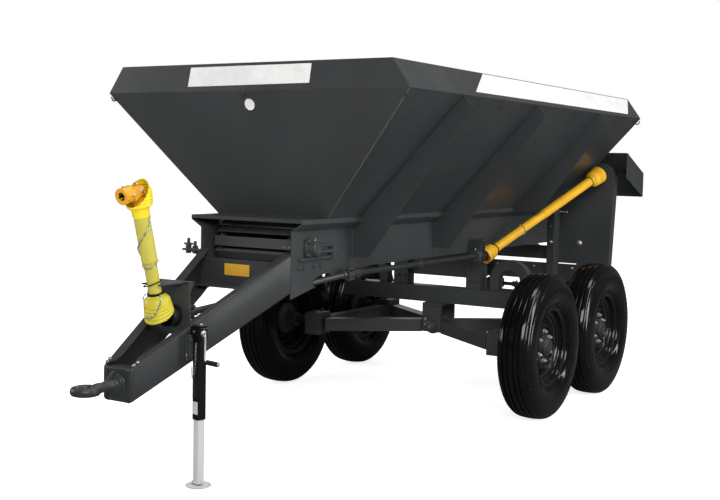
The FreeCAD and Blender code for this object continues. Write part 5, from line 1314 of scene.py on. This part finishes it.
def jack_tube():
    """Outer tube of the parking jack with its collar, head, plates and label."""
    tube = Piece("jack_outer_tube", JACK_BLACK, "chassis_paint", "jack_tube")
    low, top = JACK_TUBE_LOW.z, JACK_TOP
    tube.add(square_tube(2 * JACK_HALF, low, top, 3.5), JACK)
    tube.add(square_tube(2 * JACK_HALF + 6, top - 60, top - 2, 4), JACK)
    tube.bolt(jack_point(-6, -24, top - 22), JACK_FRONT, 9, washer=False)
    for size, x, y, z, material in (((12, 46, 56, 3), -JACK_HALF - 8, -1, top - 57, JACK_BLACK),
                                    ((56, 46, 7, 2), 3, 1, top + 1, GREY),
                                    ((34, 1.2, 54, 0.4), 0, -21.4, low + 24, ALUMINIUM),
                                    ((38, 1.0, 236, 0.3), 0, -21.2, low + 92, JACK_GLOSS)):
        tube.add(block(*size), JACK @ shift(x, y, z), material)
    tube.add(lathe([(0, 0), (0, 9), (3, 8), (3, 0)], 20), JACK @ shift(8, 0, top + 7.6), ZINC)
    tube.done()


def jack_leg():
    """Plated leg with its holes, on a round foot with two fins."""
    leg = Piece("jack_inner_leg", ALUMINIUM, "zinc_steel", "jack_leg", body="jack")
    leg.add(square_tube(2 * LEG_HALF, 9, LEG_HIGH.z, 3.5), JACK)
    foot = [(0, 0), (0, 50), (2, 54), (4, 55), (6, 55), (8, 53), (7.4, 48), (8.5, 30), (8.5, 0)]
    leg.add(lathe(foot, 56), JACK)
    corners = rounded(2 * LEG_HALF + 3, 2 * LEG_HALF + 3, 4, 2)
    leg.weld([jack_point(x, y, 9.5) for x, y in corners], 3, closed=True)
    for side in (-1, 1):
        fin = slab([(side * LEG_HALF, 8), (side * 48, 8), (side * LEG_HALF, 40)], 5, 0.8)
        leg.add(fin, JACK @ crosswise(2.5))
    hole = lathe([(0, 0), (0, 5.4), (0.5, 6.2), (0.9, 5.6), (0.5, 4.8), (0.2, 4.4), (0.2, 0)], 20)
    for z in range(60, int(LEG_HIGH.z) - 30, 45):
        # On the back face each hole is a black disc: painted shade of the open hole.
        for face, material in ((-1, None), (1, SOFT_BLACK)):
            leg.add(hole, JACK @ shift(0, face * (LEG_HALF - 0.1), z)
                    @ turned(radians(90 * face), "X"), material)
    leg.done()


def jack_crank():
    """Bent crank with its hub and ribbed grip."""
    crank = Piece("jack_crank_handle", ZINC, "chassis_paint", "jack_crank")
    z, elbow, arm = JACK_TOP - 30, JACK_HALF + 8, JACK_HALF + 21
    start, knee = jack_point(JACK_HALF - 2, 0, z), jack_point(arm, -4, z - 118)
    path = [start, jack_point(elbow, 0, z)]
    for angle in (pi / 2 * k / 7 for k in range(1, 8)):
        path.append(jack_point(elbow + 12 * sin(angle), -4 * sin(angle),
                               z - 12 + 12 * cos(angle)))
    path += [jack_point(arm, -4, z - 106), knee + JACK_OUT * 6, knee + JACK_OUT * 14]
    crank.add(sweep(path, 5.5, 14))
    crank.spun([(0, 0), (0, 12), (3, 14), (9, 14), (10, 10), (10, 0)], 24, start - JACK_OUT,
               JACK_OUT)
    grip = [(0, 0), (0, 8)]
    for k in range(11):
        grip += [(3 + k * 6, 10.8), (6 + k * 6, 10.8), (7.2 + k * 6, 9.8), (8 + k * 6, 9.8)]
    grip += [(72, 10.6), (76, 9.6), (77, 0)]
    crank.spun(grip, 28, knee + JACK_OUT * 12, JACK_OUT, SOFT_BLACK)
    crank.spun([(0, 0), (0, 6), (2, 5), (2, 0)], 20, knee + JACK_OUT * 88.6, JACK_OUT, ZINC)
    crank.done()


def jack_fittings():
    """Pin with its ring, hanging chain and shelf."""
    top = JACK_TOP
    fittings = Piece("jack_fittings", ZINC, "zinc_steel")
    fittings.add(block(50, 40, 4, 1), JACK @ shift(23, 2, top - 8.5), GREY)
    fittings.bolt(jack_point(6, -20.5, top - 72), JACK_FRONT, 9, washer=False)
    hanging = ((6, -24, 74), (5, -25, 110), (3, -25, 160), (-6, -25, 205), (-16, -25, 222),
               (-26, -22, 200), (-33, -18, 168))
    link_chain(fittings, [jack_point(x, y, top - drop) for x, y, drop in hanging], 13, 7.5, 1.3)
    pin = jack_point(-30, -4, top - 112)
    fittings.add(rod(12, 8, 1.5, 20), aim(pin - JACK_OUT * 2.5, JACK_OUT), JACK_BLACK)
    fittings.spun([(0, 0), (0, 11), (2, 12), (10, 12), (12, 10), (12, 0)], 20,
                  pin - JACK_OUT * 12, JACK_OUT, JACK_BLACK)
    loop = [pin - JACK_OUT * 10 + Z * (4 - 26 * sin(a)) + JACK_FRONT * (22 * cos(a))
            for a in angles(28)]
    fittings.add(sweep(loop, 1.8, 8, closed=True), JACK_FRONT * 14 - Z * 22)
    fittings.done()


def jack_bracket():
    """Block between the drawbar and the jack with its bolts and welds."""
    low, high = (corner.z for corner in span("jack_bracket"))
    bracket = Piece("jack_mount", GREY, "chassis_paint", "jack_bracket")
    depth = 43 * cos(JACK_SPLAY) - JACK_HALF
    middle = jack_point(-JACK_HALF - depth / 2, 0, low)
    bracket.add(block(depth + 0.5, 78, high - low, 2), Matrix.Translation(middle) @ JACK_TURN)
    for z in (low + 20, high - 20):
        for y in (-31, 31):
            bracket.bolt(jack_point(-JACK_HALF, y, z), JACK_OUT, 15, 3, GREY, y)
    for y in (-39, 39):
        bracket.weld([jack_point(1 - JACK_HALF - depth, y, z) for z in (low + 2, high - 2)], 2.6)
    bracket.done()


jack_tube()
jack_leg()
jack_crank()
jack_fittings()
jack_bracket()


# ---------------------------------------------------------------- rear drive shaft and gearboxes
TOP_GEAR_Z = 1338
REAR_LOW_JOINT, REAR_TOP_JOINT = SIDE_AXIS + Y * SIDE_JOINT, vec(620, 3060, TOP_GEAR_Z)
REAR_RUN = REAR_TOP_JOINT - REAR_LOW_JOINT
DISC_X, DISC_Y, DISC_DRIVE_Z = 300, 3450, 515
DISC_CASE_HALF = 62
FEED_X = 430


def rear_guard():
    """Golden guard with a ribbed bell at each end, its bands and its safety chain."""
    axis, length = REAR_RUN.normalized(), REAR_RUN.length
    guard = Piece("rear_shaft_guard", GOLD, "guard_gold", "rear_pto_guard")
    where = aim(REAR_LOW_JOINT, axis)
    tube = 27.0
    for mouth, reach, size, direction, origin in ((-22, 118, 50, axis, REAR_LOW_JOINT),
                                                  (-18, 124, 57, -axis, REAR_TOP_JOINT)):
        rows = [(0, size - 2.6), (0, size), (5, size + 0.5)]
        for k in range(1, 7):
            z = 5 + k * 9
            rows += [(z - 4, size + 0.6 - k * 0.5), (z - 2, size - 2.0 - k * 0.6),
                     (z, size + 0.4 - k * 0.7)]
        rows += [(reach * 0.66, size - 6), (reach * 0.74, size - 12), (reach * 0.8, tube + 8),
                 (reach * 0.84, tube + 4), (reach, tube + 3.4), (reach, tube - 1),
                 (reach * 0.8, tube), (reach * 0.66, size - 9), (12, size - 3.2)]
        guard.spun([(mouth + z, r) for z, r in rows], 56, origin, direction, closed=True)
    for start, end, outer in ((70, length * 0.5, tube), (length * 0.48, length - 96, tube + 3)):
        wall = [(start, outer - 3), (start, outer), (end, outer), (end, outer - 3)]
        guard.add(lathe(wall, 48, closed=True), where)
    guard.done(40)

    band = Piece("rear_shaft_bands", SOFT_BLACK, "guard_gold")
    for z in (78, length - 104):
        strap = [(z, tube + 3), (z, tube + 6.4), (z + 7, tube + 6.4), (z + 7, tube + 3)]
        band.add(lathe(strap, 40, closed=True), where)
    ring = [where @ vec(*polar(tube + 5, a), length * 0.3 + 6 * cos(a)) for a in angles(32)]
    ring = ring[:22] + [where @ vec(40, -20, 190), where @ vec(44, -12, 120)]
    link_chain(band, ring, 14, 8, 1.4)
    band.done()


def rear_joints():
    """Joints at both ends of the rear shaft and the bar in its guard."""
    axis, length = REAR_RUN.normalized(), REAR_RUN.length
    joints = Piece("rear_shaft_joints", ORANGE, "bare_steel", "rear_pto_joints")
    cross_joint(joints, REAR_LOW_JOINT, X, Z, ORANGE, 22, 7)
    fork(joints, REAR_LOW_JOINT, axis, X, 28, 21, 40, 13, ORANGE)
    cross_joint(joints, REAR_TOP_JOINT, X, Z, ORANGE, 24, 7)
    fork(joints, REAR_TOP_JOINT, -axis, X, 30, 22, 40, 14, ORANGE)
    fork(joints, REAR_TOP_JOINT, Y, Z, 30, 22, 77, 14, ORANGE)
    joints.add(rod(length - 120, 17, 1, 24), aim(REAR_LOW_JOINT + axis * 60, axis), STEEL)
    joints.done()


def gear_case(piece, low, high, bolts_up=True):
    """Cast case with round corners, a joint line, its flange bolts, cooling ribs and plugs."""
    size, middle = high - low, (low + high) / 2
    base = vec(middle.x, middle.y, low.z)
    half, up = size.z / 2, 1 if bolts_up else -1
    piece.add(block(size.x - 8, size.y - 8, size.z, 7), base)
    piece.add(slab(rounded(size.x, size.y, 18, 5), 10, 2), base + Z * (half - 5))
    rib = slab(rounded(5, size.y - 4, 2, 2), size.z - 30, 1.5)
    for k in range(-2, 3):
        piece.add(rib, base + vec(k * size.x / 6, 0, 4))
    for x in (-1, 1):
        for y in (-1, 1):
            foot = vec(x * (size.x / 2 - 11), y * (size.y / 2 - 11), half + 5 * up)
            piece.bolt(base + foot, Z * up, 11, twist=x + y)
        piece.bolt(base + vec(x * (size.x / 2 - 5), 0, half * 0.5), X * x, 15)


def input_gearbox():
    """Gearbox at the top of the rear shaft with its round neck."""
    low, high = span("input_gearbox")
    piece = Piece("cast_input_gearbox", GEAR_GREY, "gear_case", "input_gearbox")
    gear_case(piece, vec(low.x, max(low.y, high.y - 118), low.z), high - Y * 4)
    piece.spun([(0, 17), (0, 36), (3, 40), (14, 40), (18, 50), (26, 52), (26, 17)], 40,
               vec((low.x + high.x) / 2, low.y, TOP_GEAR_Z), Y, closed=True)
    piece.done()


def disc_gearboxes():
    """Flat gearbox with a bolted neck below each disc."""
    low, high = span("disc_gearboxes")
    piece = Piece("cast_disc_gearboxes", GEAR_GREY, "gear_case", "disc_gearboxes")
    top = low.z + 70
    neck = [(0, 18.2), (0, 44), (4, 44), (8, 38), (19, 36), (20, 34), (20, 18.2)]
    for x in (-DISC_X, DISC_X):
        gear_case(piece, vec(x - DISC_CASE_HALF, low.y + 3, low.z),
                  vec(x + DISC_CASE_HALF, high.y - 3, top), False)
        centre = vec(x, DISC_Y, top)
        piece.add(lathe(neck, 36, closed=True), centre)
        for k in range(6):
            piece.bolt(centre + vec(*polar(50, pi / 3 * k), 0), Z, 9, twist=k)
    piece.done()


def disc_cross_drive():
    """Shafts between the disc gearboxes, their sleeves, and the corner box that feeds them."""
    piece = Piece("disc_cross_drive", STEEL, "bare_steel", "disc_drive_shafts")
    drive = vec(0, DISC_Y, DISC_DRIVE_Z)
    feed = drive + X * FEED_X
    inner, feed_start = DISC_X - DISC_CASE_HALF, 3197
    piece.add(rod(2 * inner - 8, 14, 1, 24), aim(drive + X * (4 - inner), X))
    for x in (-150, 110):
        sleeve(piece, drive + X * x, drive + X * (x + 40), 21, STEEL)
    piece.add(rod(FEED_X - DISC_X - DISC_CASE_HALF, 14, 1, 24),
              aim(drive + X * (DISC_X + DISC_CASE_HALF - 1), X))
    piece.add(rod(DISC_Y - feed_start, 15, 1, 24), aim(feed + Y * (feed_start - DISC_Y), Y))
    piece.add(block(54, 54, 54, 8), feed - Z * 27, GEAR_GREY)
    piece.spun([(0, 15), (0, 25), (2, 27), (10, 27), (12, 25), (12, 15)], 28, feed - Y * 38, Y,
               GEAR_GREY, closed=True)
    sleeve(piece, feed - Y * 220, feed - Y * 164, 26, STEEL)
    piece.done()


rear_guard()
rear_joints()
input_gearbox()
disc_gearboxes()
disc_cross_drive()


# ---------------------------------------------------------------- spreading discs
def spreading_disc(name, side):
    """Dished disc with folded throwing vanes, carriage bolts and a domed centre nut."""
    node = "spreading_disc_" + name
    low, high = span(node)
    centre = vec((low.x + high.x) / 2, (low.y + high.y) / 2, low.z)
    z = 590.0 - low.z
    piece = Piece("throwing_disc_" + name, STAINLESS, "stainless", node, body="disc_" + name)
    plate = [(z, 20), (z, 150), (z + 1.5, 248), (z + 3, 250), (z + 4.6, 248.6), (z + 5, 150),
             (z + 5, 20)]
    piece.add(lathe(plate, 96, closed=True), centre)
    boss = [(0, 0), (0, 16), (1.5, 17.4), (z - 8, 17.4), (z - 6, 40), (z - 1, 46), (z + 4, 46),
            (z + 14, 44), (z + 18, 38), (z + 18, 0)]
    piece.add(lathe(boss, 48), centre, STEEL)
    piece.bolt(centre + Z * (z + 17.5), Z, 30, 6)
    section = [(0, 0), (34, 0), (34, 3), (3, 3), (3, 43), (20, 43), (22, 45), (20, 46.5),
               (0, 46.5)]
    rows = []
    for part in (k / 8 for k in range(9)):
        sway = -26 * part ** 1.6
        rows.append([vec(62 + 182 * part, sway + a, b) for a, b in section])
    vane = capped(rows)
    dome = lathe([(0, 0), (0, 9.5), (2, 8.6), (4.2, 5.6), (5.2, 0)], 16)
    for k in range(4):
        where = (Matrix.Translation(centre + Z * (z + 4.6))
                 @ (turned(pi / 2 * k + 0.2, "Z") @ Matrix.Scale(side, 4, Y)))
        piece.add(vane, where)
        for radius, offset in ((92, 18), (150, 12), (214, 2)):
            piece.add(dome, where @ shift(radius, offset, 2.8), ZINC)
            piece.add(hexagon(13, 7), where @ shift(radius, offset, -4.6)
                      @ turned(pi, "X"), ZINC)
    piece.done(30)


spreading_disc("left", 1)
spreading_disc("right", -1)


# ---------------------------------------------------------------- rear fittings
WING_Y, WALL_Y = 3160.0, 3060


def rear_bolts():
    """Bolts of the wing plates, back wall, chain case and hood."""
    piece = Piece("rear_bolts", ZINC, "zinc_steel")
    big = [(0, 0), (0, 21), (3, 21), (4, 19.5), (4, 12), (9, 12), (11, 9), (11, 0)]
    for side in (-1, 1):
        piece.spun(big, 28, vec(468 * side, WING_Y, 868), -Y, ZINC)
        piece.bolt((300 * side, WALL_Y, 873), -Y, 17, 5)
        for x, z in ((326, 1082), (348, 1080), (368, 1081)):
            piece.bolt((x * side, WING_Y, z), -Y, 13, 5, twist=x)
        for z in (520, 640, 980):
            piece.bolt((295 * side, WALL_Y, z), -Y, 17, 5, DARK_GREY, z)
    low, high = span("chain_case")
    for part in (0.06, 0.28, 0.50, 0.72, 0.94):
        run = low.x + 40 + (high.x - low.x - 80) * part
        for x in (-28, 28):
            piece.bolt((run + x, high.y, low.lerp(high, part).z), Y, 13, twist=x)
    for x in range(-560, 600, 140):
        piece.bolt((x, WING_Y, 690), -Y, 13, twist=x)
    piece.done()


def rear_seams():
    """Beads on the wing plates' front and along the hood's top, and the hood's hemmed edge."""
    seams = Piece("rear_seams", WELD, "body_paint")
    for z in (800, 1000, 1060):
        seams.weld([(286, WING_Y - 2, z - 40), (286, WING_Y - 2, z + 20)], 3)
    low, high = span("rear_hood")
    for x in (300, 600, high.x - 4):
        seams.weld([(x, WING_Y + 6, high.z - 60), (x, WING_Y + 6, high.z - 4)], 2.6)
    seams.mirrored()
    hem = [(x, high.y - 3, low.z + 5) for x in (6 - high.x, high.x - 6)]
    seams.add(sweep(hem, 4.5, 10), None, GREY)
    seams.done()


def gate_fittings():
    """Bolts and the handle's welds on the gate's rear face."""
    low, high = span("discharge_gate")
    gate = Piece("gate_fittings", GREY, "body_paint", body="gate")
    face, handle_low, handle_high = low.y + 5, 1238, 1252
    for x in (-230, 0, 230):
        gate.bolt((x, face, high.z - 16), Y, 12, twist=x)
    for x in (-54, 54):
        gate.weld([(x - 7, face, handle_low), (x + 7, face, handle_low),
                   (x + 7, face, handle_high), (x - 7, face, handle_high)], 2.2, 5.0, True)
    gate.done()


rear_bolts()
rear_seams()
gate_fittings()


# ---------------------------------------------------------------- undercarriage fittings
BRACKET_LOW, BRACKET_HIGH = span("bogie_bracket")
SIDES_LOW, SIDES_HIGH = span("bogie_sides")
CROSS_LOW, CROSS_HIGH = span("bogie_cross_beam")
BOGIE_MIDDLE = (BRACKET_LOW.y + BRACKET_HIGH.y) / 2
BOGIE_PIN_Z, AXLE_Z = 390.0, 403
BLOCK_IN, BLOCK_OUT, BLOCK_X, BLOCK_Z = 570.0, SIDES_HIGH.x, 620, 393
AXLES = (SIDES_LOW.y + 70, SIDES_HIGH.y - 70)
ARM_LOW, ARM_HIGH, ARM_IN, ARM_OUT = 352.0, 428.0, 589, 651
RAIL_FRONT, RAIL_BACK = 1945, 2031


def undercarriage_welds():
    """Beads where the bogie's arms, blocks, rails, cross beam and cradle meet."""
    piece = Piece("undercarriage_welds", WELD, "chassis_paint")
    x = BLOCK_IN - 1
    for y in AXLES:
        for edge in (y - 50, y + 50):
            piece.weld([(x, edge, ARM_LOW + 2), (x, edge, ARM_HIGH)], 3.4)
        piece.weld([(x, y - 50, ARM_HIGH + 1), (x, y + 50, ARM_HIGH + 1)], 3.4)
        piece.weld([(BLOCK_OUT + 6, y + a, AXLE_Z + b) for a, b in
                    (polar(35, angle) for angle in angles(20))], 3.0, 8, closed=True)
        face = y + (71 if y < BOGIE_MIDDLE else -71)
        for arm_x in (ARM_IN, ARM_OUT):
            piece.weld([(arm_x, face, ARM_LOW + 2), (arm_x, face, ARM_HIGH)], 3.2)
        piece.weld([(ARM_IN, face, ARM_HIGH + 1), (ARM_OUT, face, ARM_HIGH + 1)], 3.2)
    seat_z = CROSS_LOW.z + 101
    piece.weld([(206, RAIL_FRONT, seat_z), (305, RAIL_FRONT, seat_z), (305, RAIL_BACK, seat_z),
                (206, RAIL_BACK, seat_z)], 3.2, 8, closed=True)
    for x in (361, 614):
        piece.weld([(x, 1958, seat_z), (x, 2018, seat_z)], 3.0)
    end = CROSS_HIGH.x + 0.5
    piece.weld([(end, 1941, 538), (end, 2035, 538), (end, 2035, 632), (end, 1941, 632)], 2.6, 8,
               closed=True)
    for y in (BRACKET_LOW.y + 14, BRACKET_HIGH.y - 14):
        piece.weld([(2, y, CROSS_LOW.z - 16), (63, y, CROSS_LOW.z - 16)], 3.0)
    piece.mirrored()
    piece.done()


def bogie_fittings():
    """Nut, grease nipple and bolted lock plate at each end of the bogie's pin."""
    piece = Piece("bogie_fittings", DARK_GREY, "chassis_paint")
    for end, y in ((-1, BRACKET_LOW.y), (1, BRACKET_HIGH.y)):
        axis, pin = Y * end, vec(0, y, BOGIE_PIN_Z)
        piece.spun([(-11, 22), (-11, 36), (-9, 37.5), (-4, 37.5), (-3, 36), (-3, 22)], 32,
                   pin, axis, closed=True)
        piece.add(hexagon(50, 12), aim(pin - axis * 2, axis, 0.26))
        piece.spun([(0, 0), (0, 6), (5, 6), (5, 3.4), (9, 4.4), (12, 2.6), (12, 0)], 14,
                   pin + axis * 9, axis, ZINC)
        cheek = vec(-38, y - end * 15, BOGIE_PIN_Z + 26)
        piece.add(block(26, 62, 6, 1.2), aim(cheek, axis))
        for z in (16, -16):
            piece.bolt(cheek + axis * 5.6 + Z * z, axis, 15)
    piece.done()


def axle_block_fittings():
    """Caps and bolts of the axle blocks, axle collars, and the cross beam's cap and bolts."""
    blocks = Piece("axle_block_fittings", DARK_GREY, "chassis_paint")
    for y in AXLES:
        blocks.add(slab(rounded(88, 126, 6, 3), 5, 1.2), vec(BLOCK_X, y, SIDES_HIGH.z - 0.4))
        for offset in (-44, 44):
            blocks.bolt((BLOCK_X, y + offset, SIDES_HIGH.z + 4), Z, 19, 6, DARK_GREY, offset)
        blocks.spun([(0, 24), (0, 34), (3, 35), (8, 35), (14, 30), (14, 24)], 36,
                    vec(BLOCK_OUT - 1, y, AXLE_Z), X, closed=True)
        outward = -1 if y < BOGIE_MIDDLE else 1
        blocks.add(slab(rounded(90, 118, 5, 3), 4, 1.2),
                   aim(vec(BLOCK_X, y + outward * 69.6, BLOCK_Z), Y * outward))
        for x, z in ((-32, -44), (32, -44), (-32, 44), (32, 44)):
            blocks.bolt((BLOCK_X + x, y + outward * 73, BLOCK_Z + z), Y * outward, 13, 0,
                        DARK_GREY, x + z)
    blocks.add(slab(rounded(90, 90, 6, 3), 4, 1.2),
               aim(vec(CROSS_HIGH.x - 3.4, (RAIL_FRONT + RAIL_BACK) / 2, 585), X))
    for z in (690, 752):
        for x in (228, 272):
            blocks.bolt((x, RAIL_FRONT, z), -Y, 17, 0, DARK_GREY, z + x)
            blocks.bolt((x, RAIL_BACK, z), Y, 17, 4, DARK_GREY, z - x)
    blocks.mirrored()
    blocks.done()


def side_lug():
    """Lug with upright bolts on the trough's right side beside the conveyor's front."""
    piece = Piece("right_side_lug", GREY, "chassis_paint")
    root, shelf_z, sheet = 2 - TROUGH_X, 948, 9
    arm = [(root, 8), (root, 60), (-396, 46), (-408, 34), (-408, 22), (-396, 12)]
    piece.add(slab(arm, sheet, 1.5), vec(0, 0, shelf_z))
    web = [(root, shelf_z - 43), (root, shelf_z + 2), (-370, shelf_z + 2)]
    piece.add(slab(web, 8, 1.2), crosswise(38))
    for x, lift in ((-372, 14), (-330, 0)):
        foot = vec(x, 30, shelf_z + sheet)
        piece.add(lathe([(0, 0), (0, 17), (3, 17), (4, 15), (4, 0)], 24), foot)
        piece.add(hexagon(26, 13 + lift), foot + Z * 3)
        piece.add(rod(34 + lift, 7.5, 1.2, 16), foot + Z * 4)
        piece.add(hexagon(26, 13), Matrix.Translation(foot - Z * 10) @ turned(pi, "X"))
    piece.add(block(58, 9, 9, 2), vec(-372, 30, shelf_z + 28))
    piece.weld([(root - 3, y, shelf_z + 4) for y in (8, 60)], 2.8)
    piece.done()


undercarriage_welds()
bogie_fittings()
axle_block_fittings()
side_lug()


# ---------------------------------------------------------------- stage, light and camera
FLOOR_HALF, FLOOR_DROP = 60.0, -0.002
FLOOR_TONE, FLOOR_TONE_IN_GLOSS = 0.80, 0.11
SKY_LIGHT, SKY_SEEN, SKY_IN_GLOSS = 0.42, 1.0, 0.24
# name, place, target, width, height, power in watts
LAMPS = (
    ("key", (4.6, -6.2, 4.2), (0.2, -0.2, 0.9), 4.2, 3.0, 325.0),
    ("front_fill", (-6.2, -3.6, 2.8), (0.0, -0.6, 0.9), 3.0, 3.0, 120.0),
    ("side_fill", (6.5, 1.6, 3.1), (0.6, 0.6, 0.9), 0.9, 6.2, 195.0),
    ("top", (0.8, 0.3, 6.5), (0.3, 0.1, 0.6), 1.6, 5.4, 150.0),
    ("back", (-3.5, 6.0, 4.0), (0.0, 0.6, 1.0), 4.6, 3.4, 95.0),
)
# The photograph's angles in degrees, and the camera's place in metres from the front rim.
AZIMUTH, ELEVATION, ROLL = (radians(angle) for angle in (31.77, 3.93, 1.16))
CAMERA_PLACE = vec(3.2352, FRONT_RIM_Y - 4.1909, 1.3998)
FITTED_LENS, FRAMING, SHIFT_Y = 58.72, 0.95, -0.016


def floor():
    """White floor that keeps the object's shadow."""
    material = bpy.data.materials.new("floor")
    material.use_nodes = True
    tree = material.node_tree
    tree.nodes.clear()
    output = tree.nodes.new("ShaderNodeOutputMaterial")
    diffuse = tree.nodes.new("ShaderNodeBsdfDiffuse")
    glow = tree.nodes.new("ShaderNodeEmission")
    both = tree.nodes.new("ShaderNodeAddShader")
    path = tree.nodes.new("ShaderNodeLightPath")
    seen = tree.nodes.new("ShaderNodeMath")
    seen.operation = "MULTIPLY"
    seen.inputs[1].default_value = FLOOR_TONE
    tint = tree.nodes.new("ShaderNodeMix")
    tint.data_type = "RGBA"
    tint.inputs[6].default_value = (FLOOR_TONE, FLOOR_TONE, FLOOR_TONE, 1)
    tint.inputs[7].default_value = (FLOOR_TONE_IN_GLOSS,) * 3 + (1,)
    for source, target in ((path.outputs["Is Camera Ray"], seen.inputs[0]),
                           (path.outputs["Is Glossy Ray"], tint.inputs[0]),
                           (tint.outputs[2], diffuse.inputs["Color"]),
                           (seen.outputs[0], glow.inputs["Strength"]),
                           (diffuse.outputs[0], both.inputs[0]),
                           (glow.outputs[0], both.inputs[1]),
                           (both.outputs[0], output.inputs[0])):
        tree.links.new(source, target)
    far = FLOOR_HALF
    mesh = bpy.data.meshes.new("floor")
    mesh.from_pydata([(-far, -far, 0), (far, -far, 0), (far, far, 0), (-far, far, 0)], [],
                     [(0, 1, 2, 3)])
    mesh.materials.append(material)
    made = bpy.data.objects.new("floor", mesh)
    made.location.z = FLOOR_DROP
    bpy.context.scene.collection.objects.link(made)


def studio():
    """White background, dimmer in gloss and as a light, and the soft lamps."""
    world = bpy.data.worlds.new("studio")
    world.use_nodes = True
    bpy.context.scene.world = world
    tree = world.node_tree
    ground = tree.nodes["Background"]
    ground.inputs["Color"].default_value = (1, 1, 1, 1)
    path = tree.nodes.new("ShaderNodeLightPath")
    product = tree.nodes.new("ShaderNodeMath")
    product.operation = "MULTIPLY"
    for slot, (ray, low, high) in enumerate((("Is Camera Ray", SKY_LIGHT, SKY_SEEN),
                                             ("Is Glossy Ray", 1.0, SKY_IN_GLOSS))):
        level = tree.nodes.new("ShaderNodeMapRange")
        level.inputs["To Min"].default_value = low
        level.inputs["To Max"].default_value = high
        tree.links.new(path.outputs[ray], level.inputs["Value"])
        tree.links.new(level.outputs[0], product.inputs[slot])
    tree.links.new(product.outputs[0], ground.inputs["Strength"])
    for name, place, target, width, height, power in LAMPS:
        lamp = bpy.data.lights.new(name, "AREA")
        lamp.shape = "RECTANGLE"
        lamp.size, lamp.size_y, lamp.energy = width, height, power
        made = bpy.data.objects.new(name, lamp)
        made.location = place
        away = Vector(target) - Vector(place)
        made.rotation_euler = away.to_track_quat("-Z", "Y").to_euler()
        bpy.context.scene.collection.objects.link(made)


def camera():
    """Camera at the photograph's viewing angle."""
    level = cos(ELEVATION)
    back = vec(sin(AZIMUTH) * level, -cos(AZIMUTH) * level, sin(ELEVATION))
    right = vec(cos(AZIMUTH), sin(AZIMUTH), 0)
    up = back.cross(right)
    lean, upright = sin(ROLL), cos(ROLL)
    data = bpy.data.cameras.new("camera")
    data.lens = FITTED_LENS * FRAMING
    data.sensor_width = 36.0
    data.shift_y = SHIFT_Y
    data.clip_end = 200
    made = bpy.data.objects.new("camera", data)
    made.matrix_world = frame_of(right * upright + up * lean, up * upright - right * lean, back,
                                 CAMERA_PLACE)
    bpy.context.scene.collection.objects.link(made)
    bpy.context.scene.camera = made


floor()
studio()
camera()
bpy.context.scene.view_settings.view_transform = "Standard"
